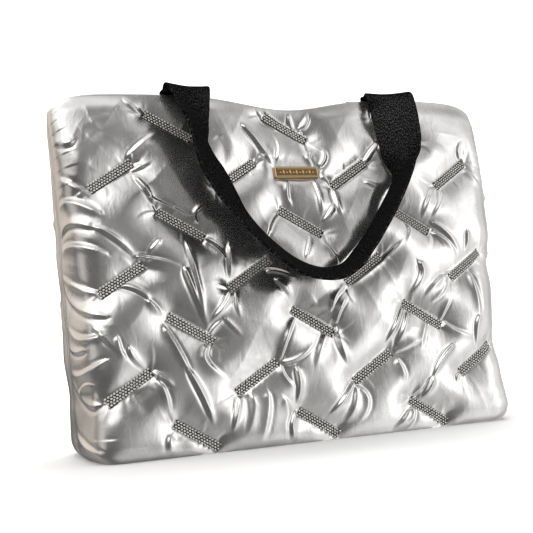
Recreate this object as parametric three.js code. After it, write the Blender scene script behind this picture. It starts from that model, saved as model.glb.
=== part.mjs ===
import * as THREE from 'three';

// A quilted tote bag of padded metallic cloth with two webbing handles.
// Millimetres, +Z up. The bag stands on z = 0, its front faces -Y and its ends lie along X.

// Bag body
const bagHeight = 331;         // floor to the highest point of the rim
const bagWidth = 440;          // across the side seams low on the bag
const bagDepth = 122;          // front to back on the floor
const mouthMiddle = 36;        // front to back across the rim at mid-span
const mouthEnd = 18;           // the same at the side seams
const wall = 9;                // padded cloth
const rimWall = 3.2;           // cloth without padding, at the rim
const rimTaper = 44;           // height over which the padding ends
const belly = 7;               // outward swell of each face at half height
const leanPower = 2.1;         // how late the faces lean together on the way up
const cornerRound = 34;        // length over which a face turns into an end
const rollHeight = 12;         // height of the roll along the floor
const rollInset = 5;           // how far that roll draws in at the floor
const rimSag = 13;             // how far the rim sags between the handles
const rimSagReach = 62;        // half width of that sag
const cornerDroop = 16;        // how far the rim drops at its ends
const cornerDroopReach = 14;   // length of that drop
const baseThickness = 8;
const baseSeat = 0.4;          // between the base and the inside of the panels round it
const leastWall = 2;           // cloth left at the bottom of the deepest pit or fold
const gap = 0.3;               // between neighbouring pieces

// Quilting: short stitched bars in a staggered lattice, leaning one way and the other by column
const barLength = 48.5;
const barWidth = 9;
const barLean = THREE.MathUtils.degToRad(31.6);
const columnPitch = 59.3;
const rowPitch = 94.5;
const barColumns = 7;
const barsInOddColumn = 3;
const barsInEvenColumn = 4;
const latticeShift = -4;       // the middle column, from the middle of the bag
const lowestBar = 17;          // middle of the lowest bars above the floor
const pitDepth = 6;            // how far a bar is drawn into the padding
const pitReach = 15;           // how far the cloth takes to swell up beside a bar
const pitPower = 1.4;          // how full the cloth swells between the bars

// Handles
const strapWidth = 46;
const strapThickness = 2.4;
const strapStep = 9;           // longest step along a handle

// Plate
const plateWidth = 46;
const plateHeight = 12;
const plateThickness = 1.6;
const plateCorner = 1.5;
const plateAcross = -1;        // its middle, from the middle of the bag
const plateUp = 254.5;         // its middle above the floor
const plateSeat = 2.2;         // how far it presses into the padding
const plateSeatReach = 9;      // how far the cloth takes to rise round it

// Mesh fineness: columns from seam to seam, rows from floor to rim
const frontColumns = 72;
const frontRows = 36;
const backColumns = 48;
const backRows = 28;
const sectionSteps = 300;      // points of a plan section before it is shared out in columns
const seamFade = 1 / 24;       // share of the columns over which the relief fades at a seam
const rimFade = 1 / 18;        // share of the rows over which it fades at the rim

// Ends of the bag: reach of the side seam and of the face's corner from the middle, left and
// right, as shares of half the bag's width, at each share of the rim's height.
const ends = [
  { height: 0.00, seamLeft: 0.975, cornerLeft: 0.932, cornerRight: 0.942, seamRight: 0.982 },
  { height: 0.05, seamLeft: 0.985, cornerLeft: 0.935, cornerRight: 0.942, seamRight: 0.990 },
  { height: 0.15, seamLeft: 0.995, cornerLeft: 0.935, cornerRight: 0.905, seamRight: 0.990 },
  { height: 0.30, seamLeft: 1.010, cornerLeft: 0.930, cornerRight: 0.880, seamRight: 0.980 },
  { height: 0.45, seamLeft: 1.020, cornerLeft: 0.930, cornerRight: 0.905, seamRight: 0.985 },
  { height: 0.60, seamLeft: 1.025, cornerLeft: 0.950, cornerRight: 0.955, seamRight: 0.995 },
  { height: 0.80, seamLeft: 1.035, cornerLeft: 0.995, cornerRight: 0.985, seamRight: 1.005 },
  { height: 1.00, seamLeft: 1.045, cornerLeft: 1.030, cornerRight: 0.995, seamRight: 1.010 },
];

// Main folds of the front: two ends across (share of half the width) and up (share of the
// height), then width and depth as shares of the wall. A negative depth is a ridge.
const frontFolds = [
  { across: -0.74, up: 0.77, toAcross: -0.51, toUp: 0.63, width: 0.8, depth: 0.30 },
  { across: -0.91, up: 0.62, toAcross: -0.59, toUp: 0.51, width: 0.8, depth: 0.25 },
  { across: -0.85, up: 0.47, toAcross: -0.68, toUp: 0.39, width: 0.8, depth: 0.30 },
  { across: -0.55, up: 0.57, toAcross: -0.47, toUp: 0.34, width: 0.8, depth: 0.30 },
  { across: -0.37, up: 0.56, toAcross: -0.46, toUp: 0.36, width: 0.8, depth: 0.30 },
  { across: -0.66, up: 0.35, toAcross: -0.49, toUp: 0.08, width: 0.9, depth: 0.35 },
  { across: -0.48, up: 0.31, toAcross: -0.37, toUp: 0.18, width: 0.8, depth: 0.25 },
  { across: -0.37, up: 0.15, toAcross: -0.40, toUp: 0.01, width: 0.8, depth: 0.30 },
  { across: -0.11, up: 0.38, toAcross: -0.19, toUp: 0.24, width: 0.8, depth: 0.30 },
  { across: -0.12, up: 0.21, toAcross: -0.14, toUp: 0.01, width: 0.9, depth: 0.35 },
  { across: 0.06, up: 0.37, toAcross: 0.17, toUp: 0.45, width: 0.8, depth: 0.25 },
  { across: 0.17, up: 0.45, toAcross: 0.52, toUp: 0.60, width: 0.9, depth: 0.35 },
  { across: 0.16, up: 0.17, toAcross: 0.03, toUp: 0.07, width: 0.8, depth: 0.30 },
  { across: 0.37, up: 0.24, toAcross: 0.47, toUp: 0.34, width: 0.8, depth: 0.30 },
  { across: 0.29, up: 0.25, toAcross: 0.43, toUp: 0.37, width: 0.8, depth: 0.25 },
  { across: 0.66, up: 0.24, toAcross: 0.52, toUp: 0.10, width: 0.9, depth: 0.35 },
  { across: 0.83, up: 0.46, toAcross: 0.77, toUp: 0.22, width: 0.9, depth: 0.30 },
  { across: -0.22, up: 0.91, toAcross: -0.11, toUp: 0.79, width: 0.8, depth: 0.25 },
  { across: 0.09, up: 0.90, toAcross: 0.07, toUp: 0.79, width: 0.8, depth: 0.25 },
  { across: -1.00, up: 0.72, toAcross: -0.90, toUp: 0.64, width: 0.9, depth: 0.35 },
  { across: -0.98, up: 0.59, toAcross: -0.92, toUp: 0.54, width: 0.9, depth: 0.35 },
];

// The hidden back has the folds that its lattice brings, and no more.
const backFolds = [
  { across: -0.78, up: 0.66, toAcross: -0.60, toUp: 0.46, width: 0.9, depth: 0.30 },
  { across: -0.30, up: 0.42, toAcross: -0.42, toUp: 0.22, width: 0.9, depth: 0.30 },
  { across: 0.22, up: 0.70, toAcross: 0.44, toUp: 0.52, width: 0.9, depth: 0.30 },
  { across: 0.62, up: 0.34, toAcross: 0.50, toUp: 0.12, width: 0.9, depth: 0.30 },
];

// One handle, from its left end to its right end. across is a share of half the bag's width,
// up a share of the bag's height, and off the distance from the bag's face as a share of the
// handle's width. turn is the angle of its left edge: 0 to the left, 90 to the front, 180 right.
const strapPath = [
  { across: -0.440, up: 1.022, off: 0.08, turn: 8 },
  { across: -0.442, up: 1.027, off: 0.22, turn: 13 },
  { across: -0.448, up: 1.010, off: 0.36, turn: 18 },
  { across: -0.455, up: 0.970, off: 0.39, turn: 25 },
  { across: -0.468, up: 0.925, off: 0.39, turn: 31 },
  { across: -0.475, up: 0.873, off: 0.41, turn: 36 },
  { across: -0.455, up: 0.818, off: 0.45, turn: 40 },
  { across: -0.435, up: 0.765, off: 0.50, turn: 45 },
  { across: -0.382, up: 0.695, off: 0.54, turn: 56 },
  { across: -0.335, up: 0.645, off: 0.56, turn: 67 },
  { across: -0.235, up: 0.558, off: 0.57, turn: 82 },
  { across: -0.100, up: 0.486, off: 0.57, turn: 89 },
  { across: 0.025, up: 0.468, off: 0.57, turn: 90 },
  { across: 0.110, up: 0.488, off: 0.57, turn: 92 },
  { across: 0.180, up: 0.530, off: 0.57, turn: 92 },
  { across: 0.268, up: 0.593, off: 0.57, turn: 94 },
  { across: 0.355, up: 0.658, off: 0.57, turn: 101 },
  { across: 0.430, up: 0.722, off: 0.54, turn: 116 },
  { across: 0.458, up: 0.765, off: 0.50, turn: 128 },
  { across: 0.473, up: 0.826, off: 0.44, turn: 140 },
  { across: 0.495, up: 0.893, off: 0.40, turn: 150 },
  { across: 0.513, up: 0.957, off: 0.39, turn: 158 },
  { across: 0.520, up: 1.005, off: 0.36, turn: 165 },
  { across: 0.520, up: 1.020, off: 0.22, turn: 170 },
  { across: 0.518, up: 1.016, off: 0.08, turn: 174 },
];
const strapRootLength = 34;    // stretch sewn flat inside the rim
const strapRise = 4;           // how far it stands straight up past the rim
const strapSeat = 0.8;         // between the sewn stretch and the inside of the panel
const strapTilt = 0.26;        // drop of the front edge where the handle lies flat, per width

const silver = new THREE.MeshStandardMaterial({ color: 0xb9b7b4, roughness: 0.3, metalness: 0.9 });
const silverBack = silver.clone();
const silverBase = silver.clone();
const satin = new THREE.MeshStandardMaterial({ color: 0x141414, roughness: 0.45, metalness: 0.0 });
const satinBack = satin.clone();
const brass = new THREE.MeshStandardMaterial({ color: 0xb08d55, roughness: 0.35, metalness: 1.0 });

function blendRow(table, key, at) {
  let next = table.findIndex((row) => row[key] >= at);
  if (next < 0) next = table.length - 1;
  const low = table[Math.max(next - 1, 0)];
  const high = table[next];
  const span = high[key] - low[key];
  const share = span > 0 ? Math.min(Math.max((at - low[key]) / span, 0), 1) : 0;
  const smooth = share * share * (3 - 2 * share);
  const row = {};
  for (const name of Object.keys(low)) row[name] = low[name] + (high[name] - low[name]) * smooth;
  return row;
}

// Height of the rim over a place across the bag: it sags at mid-span and droops at the ends.
function rimHeight(x) {
  const sag = rimSag * Math.exp(-((x / rimSagReach) ** 2));
  const top = ends[ends.length - 1];
  const fromEnd = (x < 0 ? top.seamLeft : top.seamRight) * bagWidth / 2 - Math.abs(x);
  const droop = cornerDroop * Math.exp(-Math.max(fromEnd, 0) / cornerDroopReach);
  return bagHeight - sag - droop;
}

// Distance of a face from the middle plane, across the bag and up by share of the rim's height.
function faceDepth(x, share) {
  const across = Math.min(Math.abs(x) / (bagWidth / 2), 1);
  const mouth = (mouthEnd + (mouthMiddle - mouthEnd) * (1 - across * across)) / 2;
  const lean = 1 - Math.max(share, 0) ** leanPower;
  const swell = belly * Math.sin(Math.PI * Math.min(Math.max(share, 0), 1)) * (1 - across * across);
  return mouth + (bagDepth / 2 - mouth) * lean + swell;
}

function resample(points, count) {
  const run = [0];
  for (let i = 1; i < points.length; i++) run.push(run[i - 1] + points[i].distanceTo(points[i - 1]));
  const result = [];
  let at = 1;
  for (let i = 0; i <= count; i++) {
    const target = (run[run.length - 1] * i) / count;
    while (at < run.length - 1 && run[at] < target) at++;
    const share = (target - run[at - 1]) / (run[at] - run[at - 1]);
    result.push(points[at - 1].clone().lerp(points[at], Math.min(Math.max(share, 0), 1)));
  }
  return result;
}

// Plan section of the front half at one share of the rim's height, from the left seam round
// the front to the right seam, with its corners rounded by a moving average.
function sectionAt(share, columns) {
  const row = blendRow(ends, 'height', Math.min(share, 1));
  const half = bagWidth / 2;
  const left = -row.cornerLeft * half;
  const right = row.cornerRight * half;
  const sharp = [];
  const endSteps = sectionSteps / 12;
  const faceSteps = sectionSteps / 2;
  const leftDepth = faceDepth(left, share);
  const rightDepth = faceDepth(right, share);
  for (let i = 0; i < endSteps; i++) {
    const t = i / endSteps;
    sharp.push(new THREE.Vector2(left + (left + row.seamLeft * half) * (t * t - 1), -t * leftDepth));
  }
  for (let i = 0; i <= faceSteps; i++) {
    const x = left + ((right - left) * i) / faceSteps;
    sharp.push(new THREE.Vector2(x, -faceDepth(x, share)));
  }
  for (let i = endSteps - 1; i >= 0; i--) {
    const t = i / endSteps;
    sharp.push(new THREE.Vector2(right + (row.seamRight * half - right) * (1 - t * t), -t * rightDepth));
  }
  const last = sectionSteps;
  const even = resample(sharp, last);
  const step = even[0].distanceTo(even[1]);
  const reach = Math.max(1, Math.round(Math.min(cornerRound, leftDepth) / 2 / step));
  const beyond = (i) => {
    if (i < 0) return new THREE.Vector2(even[-i].x, -even[-i].y);
    if (i > last) return new THREE.Vector2(even[2 * last - i].x, -even[2 * last - i].y);
    return even[i];
  };
  const round = even.map((_, i) => {
    const sum = new THREE.Vector2();
    for (let k = -reach; k <= reach; k++) sum.add(beyond(i + k));
    return sum.divideScalar(2 * reach + 1);
  });
  round[0].y = 0;
  round[last].y = 0;
  return resample(round, columns);
}

function distanceToSegment(x, z, ax, az, bx, bz) {
  const dx = bx - ax;
  const dz = bz - az;
  const t = Math.min(Math.max(((x - ax) * dx + (z - az) * dz) / (dx * dx + dz * dz), 0), 1);
  return Math.hypot(x - ax - t * dx, z - az - t * dz);
}

// Middles of the stitched bars: odd columns lean up to the right, even ones down.
function barPlaces() {
  const bars = [];
  for (let column = 0; column < barColumns; column++) {
    const even = column % 2 === 1;
    const count = even ? barsInEvenColumn : barsInOddColumn;
    for (let row = 0; row < count; row++) {
      bars.push({
        x: latticeShift + (column - (barColumns - 1) / 2) * columnPitch,
        z: lowestBar + (row + (even ? 0 : 0.5)) * rowPitch,
        lean: even ? -barLean : barLean,
      });
    }
  }
  return bars;
}

// Relief of the padded cloth, outward positive: pits at the bars, then the table's folds.
function relief(x, z, bars, folds, withPlate) {
  let depth = 0;
  const halfLength = (barLength - barWidth) / 2;
  for (const bar of bars) {
    const dx = halfLength * Math.cos(bar.lean);
    const dz = halfLength * Math.sin(bar.lean);
    const away = distanceToSegment(x, z, bar.x - dx, bar.z - dz, bar.x + dx, bar.z + dz);
    const beside = Math.max(away - barWidth / 4, 0) / pitReach;
    depth = Math.max(depth, pitDepth * Math.exp(-(beside ** pitPower)));
  }
  for (const fold of folds) {
    const half = bagWidth / 2;
    const away = distanceToSegment(x, z, fold.across * half, fold.up * bagHeight,
      fold.toAcross * half, fold.toUp * bagHeight);
    depth += fold.depth * wall * Math.exp(-((away / (fold.width * wall)) ** 2));
  }
  if (withPlate) {
    const outX = Math.max(Math.abs(x - plateAcross) - plateWidth / 2, 0);
    const outZ = Math.max(Math.abs(z - plateUp) - plateHeight / 2, 0);
    const away = Math.max(Math.hypot(outX, outZ) - plateSeatReach, 0);
    const hold = Math.exp(-((away / plateSeatReach) ** 2));
    depth += (plateSeat - depth) * hold;
  }
  return -depth;
}

function wallAt(z, top) {
  const share = Math.min(Math.max((top - z) / rimTaper, 0), 1);
  return rimWall + (wall - rimWall) * share;
}

// Shares of the rim's height at which the rows lie, closer together along the floor's roll.
function rowShares(rows) {
  const roll = Math.max(rollHeight, baseThickness + 1) / bagHeight;
  const shares = [0, roll / 3, roll];
  const rest = rows - 2;
  for (let i = 1; i <= rest; i++) shares.push(roll + ((1 - roll) * i) / rest);
  return shares;
}

// Smooth surface of the front half as rows of { point, out } in the plan of each height.
function bodyGrid(columns, rows) {
  return rowShares(rows).map((share) => {
    const section = sectionAt(share, columns);
    return section.map((p, i) => {
      const before = section[Math.max(i - 1, 0)];
      const after = section[Math.min(i + 1, columns)];
      const along = after.clone().sub(before).normalize();
      const out = new THREE.Vector2(along.y, -along.x);
      if (i === 0) out.set(-1, 0);
      if (i === columns) out.set(1, 0);
      return { point: p, out, z: share * rimHeight(p.x), top: rimHeight(p.x) };
    });
  });
}

// Joins an outer grid of rows and an inner grid with half as many cells each way into one
// closed shell. Both have their first row at the floor and their first column at the left.
function shell(outer, inner) {
  const positions = [];
  const index = [];
  const outerColumns = outer[0].length;
  const innerColumns = inner[0].length;
  for (const row of outer) for (const p of row) positions.push(p.x, p.y, p.z);
  const start = outer.length * outerColumns;
  for (const row of inner) for (const p of row) positions.push(p.x, p.y, p.z);
  const o = (r, c) => r * outerColumns + c;
  const n = (r, c) => start + r * innerColumns + c;
  for (let r = 0; r < outer.length - 1; r++) {
    for (let c = 0; c < outerColumns - 1; c++) {
      index.push(o(r, c), o(r, c + 1), o(r + 1, c + 1), o(r, c), o(r + 1, c + 1), o(r + 1, c));
    }
  }
  for (let r = 0; r < inner.length - 1; r++) {
    for (let c = 0; c < innerColumns - 1; c++) {
      index.push(n(r, c), n(r + 1, c + 1), n(r, c + 1), n(r, c), n(r + 1, c), n(r + 1, c + 1));
    }
  }
  const strip = (outerAt, innerAt, cells) => {
    for (let i = 0; i < cells; i++) {
      index.push(outerAt(2 * i), innerAt(i), outerAt(2 * i + 1));
      index.push(outerAt(2 * i + 1), innerAt(i), innerAt(i + 1));
      index.push(outerAt(2 * i + 1), innerAt(i + 1), outerAt(2 * i + 2));
    }
  };
  const lastRow = outer.length - 1;
  const lastInnerRow = inner.length - 1;
  const acrossCells = innerColumns - 1;
  const upCells = lastInnerRow;
  strip((i) => o(0, i), (i) => n(0, i), acrossCells);
  strip((i) => o(lastRow, outerColumns - 1 - i), (i) => n(lastInnerRow, innerColumns - 1 - i), acrossCells);
  strip((i) => o(lastRow - i, 0), (i) => n(lastInnerRow - i, 0), upCells);
  strip((i) => o(i, outerColumns - 1), (i) => n(i, innerColumns - 1), upCells);
  return meshGeometry(positions, index);
}

function meshGeometry(positions, index) {
  const geometry = new THREE.BufferGeometry();
  geometry.setAttribute('position', new THREE.Float32BufferAttribute(positions, 3));
  geometry.setIndex(index);
  geometry.computeVertexNormals();
  return geometry;
}

// The same piece on the other side of the bag's middle plane.
function mirrored(geometry) {
  const position = geometry.getAttribute('position');
  for (let i = 0; i < position.count; i++) position.setY(i, -position.getY(i));
  const index = Array.from(geometry.getIndex().array);
  for (let i = 0; i < index.length; i += 3) index.splice(i, 2, index[i + 1], index[i]);
  geometry.setIndex(index);
  geometry.computeVertexNormals();
  return geometry;
}

// How far the outside is drawn in along the floor.
function rollAt(z) {
  const low = Math.max(1 - z / rollHeight, 0);
  return rollInset * low * low;
}

// The plan of one row at the height of another: the inside stands upright round the base.
function uprightRow(plan, heights) {
  return plan.map((cell, c) => ({ ...cell, z: heights[c].z }));
}

// One padded panel, made as the front.
function panel(columns, rows, folds, withPlate) {
  const bars = barPlaces();
  const grid = bodyGrid(columns, rows);
  const placed = (cell, offset) => {
    const y = Math.min(cell.point.y + cell.out.y * offset, -gap / 2);
    return new THREE.Vector3(cell.point.x + cell.out.x * offset, y, cell.z);
  };
  const fade = (r, c) => {
    const fromSeam = Math.min(c, columns - c) / (columns * seamFade);
    const fromRim = (rows - r) / (rows * rimFade);
    return Math.min(fromSeam, 1) * Math.min(fromRim, 1);
  };
  const outer = grid.map((row, r) => row.map((cell, c) => {
    const dip = relief(cell.point.x, cell.z, bars, folds, withPlate) * fade(r, c);
    const thickness = wallAt(cell.z, cell.top);
    return placed(cell, Math.max(dip - rollAt(cell.z), Math.min(leastWall, thickness) - thickness));
  }));
  const innerRows = grid.filter((_, r) => r % 2 === 0);
  const beside = innerRows.map((row, r) => (r > 1 ? row : uprightRow(grid[0], row)));
  const inner = beside.map((row) => row.filter((_, c) => c % 2 === 0)
    .map((cell) => placed(cell, -wallAt(cell.z, cell.top))));
  return shell(outer, inner);
}

// Half of the base's outline: the inside of a panel at the floor, drawn in by its seat.
function baseEdge(columns) {
  const row = bodyGrid(columns, frontRows)[0].filter((_, c) => c % 2 === 0);
  return row.slice(1, -1).map((cell) => cell.point.clone().addScaledVector(cell.out, -wall - baseSeat));
}

function baseOutline() {
  const front = baseEdge(frontColumns);
  const back = baseEdge(backColumns).map((p) => new THREE.Vector2(p.x, -p.y)).reverse();
  return front.concat(back);
}

function basePanel() {
  const shape = new THREE.Shape(baseOutline());
  return new THREE.ExtrudeGeometry(shape, { depth: baseThickness, bevelEnabled: false });
}

// Centre line of a handle: sewn inside the rim, over it, and down the front face.
function strapStations() {
  const half = bagWidth / 2;
  const hanging = strapPath.map((row) => {
    const x = row.across * half;
    const z = row.up * bagHeight;
    const y = -faceDepth(x, z / rimHeight(x)) - row.off * strapWidth;
    return { point: new THREE.Vector3(x, y, z), turn: row.turn };
  });
  const root = (row, turn) => {
    const x = row.across * half;
    const top = rimHeight(x);
    const places = [];
    for (const below of [strapRootLength, strapRootLength / 2, 0, -strapRise]) {
      const z = top - below;
      const share = Math.min(z / top, 1);
      const inside = faceDepth(x, share) - wallAt(z, top) - strapSeat - strapThickness / 2;
      const rise = faceDepth(x - strapWidth / 2, share) - faceDepth(x + strapWidth / 2, share);
      const follow = THREE.MathUtils.radToDeg(Math.atan2(rise, strapWidth));
      places.push({ point: new THREE.Vector3(x, -inside, z), turn: turn + follow });
    }
    return places;
  };
  const leftRoot = root(strapPath[0], 0);
  const rightRoot = root(strapPath[strapPath.length - 1], 180).reverse();
  return leftRoot.concat(hanging, rightRoot);
}

// Flat webbing: a rectangle carried along a smooth curve, its width turned as the table says.
function strap() {
  const stations = strapStations();
  const curve = new THREE.CatmullRomCurve3(stations.map((s) => s.point), false, 'centripetal');
  const steps = Math.ceil(curve.getLength() / strapStep);
  const positions = [];
  const index = [];
  for (let i = 0; i <= steps; i++) {
    const u = i / steps;
    const t = curve.getUtoTmapping(u);
    const centre = curve.getPoint(t);
    const along = curve.getTangent(t);
    const place = t * (stations.length - 1);
    const low = Math.min(Math.floor(place), stations.length - 2);
    const turned = stations[low].turn + (stations[low + 1].turn - stations[low].turn) * (place - low);
    const angle = THREE.MathUtils.degToRad(turned);
    const level = Math.sin(angle) ** 4;  // 1 where the handle's edge points to the front
    const across = new THREE.Vector3(-Math.cos(angle), -Math.sin(angle), -strapTilt * level);
    across.addScaledVector(along, -across.dot(along)).normalize();
    const normal = new THREE.Vector3().crossVectors(along, across);
    for (const [w, h] of [[-1, -1], [1, -1], [1, 1], [-1, 1]]) {
      const corner = centre.clone().addScaledVector(across, (w * strapWidth) / 2)
        .addScaledVector(normal, (h * strapThickness) / 2);
      positions.push(corner.x, corner.y, corner.z);
    }
  }
  for (let i = 0; i < steps; i++) {
    for (let k = 0; k < 4; k++) {
      const a = i * 4 + k;
      const b = i * 4 + ((k + 1) % 4);
      index.push(a, b, b + 4, a, b + 4, a + 4);
    }
  }
  const last = steps * 4;
  index.push(0, 2, 1, 0, 3, 2, last, last + 1, last + 2, last, last + 2, last + 3);
  return meshGeometry(positions, index);
}

function plateGeometry() {
  const w = plateWidth / 2;
  const h = plateHeight / 2;
  const r = plateCorner;
  const shape = new THREE.Shape();
  shape.moveTo(-w + r, -h);
  shape.lineTo(w - r, -h);
  shape.absarc(w - r, -h + r, r, -Math.PI / 2, 0);
  shape.absarc(w - r, h - r, r, 0, Math.PI / 2);
  shape.absarc(-w + r, h - r, r, Math.PI / 2, Math.PI);
  shape.absarc(-w + r, -h + r, r, Math.PI, Math.PI * 1.5);
  return new THREE.ExtrudeGeometry(shape, { depth: plateThickness, bevelEnabled: false, curveSegments: 4 });
}

// The plate lies on the leaning front face, sunk in by its seat.
function placePlate(mesh) {
  const top = rimHeight(plateAcross);
  const step = plateHeight / 2;
  const low = -faceDepth(plateAcross, (plateUp - step) / top);
  const high = -faceDepth(plateAcross, (plateUp + step) / top);
  const lean = Math.atan2(high - low, 2 * step);
  const back = (low + high) / 2 + plateSeat - gap;
  mesh.rotation.set(Math.PI / 2 - lean, 0, 0);
  mesh.position.set(plateAcross, back, plateUp);
}

// The origin lies under the middle of the bag's whole length.
const group = new THREE.Group();
const rimEnds = ends[ends.length - 1];
group.position.x = ((rimEnds.seamLeft - rimEnds.seamRight) * bagWidth) / 4;

function add(name, geometry, material) {
  const mesh = new THREE.Mesh(geometry, material);
  mesh.name = name;
  group.add(mesh);
  return mesh;
}

add('front_panel', panel(frontColumns, frontRows, frontFolds, true), silver);
add('back_panel', mirrored(panel(backColumns, backRows, backFolds, false)), silverBack);
add('base_panel', basePanel(), silverBase);
add('front_strap', strap(), satin);
add('back_strap', mirrored(strap()), satinBack);
placePlate(add('plate', plateGeometry(), brass));

export default group;
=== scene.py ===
"""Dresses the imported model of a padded, quilted tote bag: cloth, webbing, plate and studio.

The cloth of each panel is a grid over the body's smooth surface. It is sewn down at the short
stitched bars, pushed out by the padding and settled into smooth pillows. Folds from the tables,
gathers at the bars and slight crumples then rise from it along the smooth surface's normal.
"""

import bpy
import numpy as np
from bpy.props import FloatProperty, FloatVectorProperty, IntProperty, PointerProperty
from mathutils import Matrix


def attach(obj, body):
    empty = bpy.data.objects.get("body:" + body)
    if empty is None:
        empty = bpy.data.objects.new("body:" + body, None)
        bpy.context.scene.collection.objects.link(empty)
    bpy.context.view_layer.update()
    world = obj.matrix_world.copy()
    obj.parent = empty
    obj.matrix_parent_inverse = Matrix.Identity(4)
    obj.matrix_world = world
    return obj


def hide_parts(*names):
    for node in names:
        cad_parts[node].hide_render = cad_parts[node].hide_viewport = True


bl_info = {
    "name": "Puffer tote bag",
    "version": (1, 0, 0),
    "blender": (4, 5, 0),
    "location": "View3D > Sidebar > Tote bag",
    "description": "Builds the cloth, handles and plate of a quilted tote bag over its frame",
    "category": "Object",
}

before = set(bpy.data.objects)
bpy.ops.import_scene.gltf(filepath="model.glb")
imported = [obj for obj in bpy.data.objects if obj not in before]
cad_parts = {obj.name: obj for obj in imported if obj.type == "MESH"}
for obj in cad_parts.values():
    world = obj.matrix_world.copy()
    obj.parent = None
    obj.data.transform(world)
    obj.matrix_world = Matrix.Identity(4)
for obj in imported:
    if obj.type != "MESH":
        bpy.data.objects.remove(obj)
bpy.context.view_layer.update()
MM = 0.001
PHOTO_SIDE = 533               # pixels along each side of the photograph
SENSOR = 36.0                  # mm

# Ends of the bag: reach of the side seam and of the face's corner from the middle, left and
# right, as shares of half the bag's width, at each share of the rim's height.
END_COLUMNS = ("height", "seam_left", "corner_left", "corner_right", "seam_right")
ENDS = np.array((
    (0.00, 0.975, 0.932, 0.942, 0.982),
    (0.05, 0.985, 0.935, 0.942, 0.990),
    (0.15, 0.995, 0.935, 0.905, 0.990),
    (0.30, 1.010, 0.930, 0.880, 0.980),
    (0.45, 1.020, 0.930, 0.905, 0.985),
    (0.60, 1.025, 0.950, 0.955, 0.995),
    (0.80, 1.035, 0.995, 0.985, 1.005),
    (1.00, 1.045, 1.030, 0.995, 1.010),
))

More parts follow.
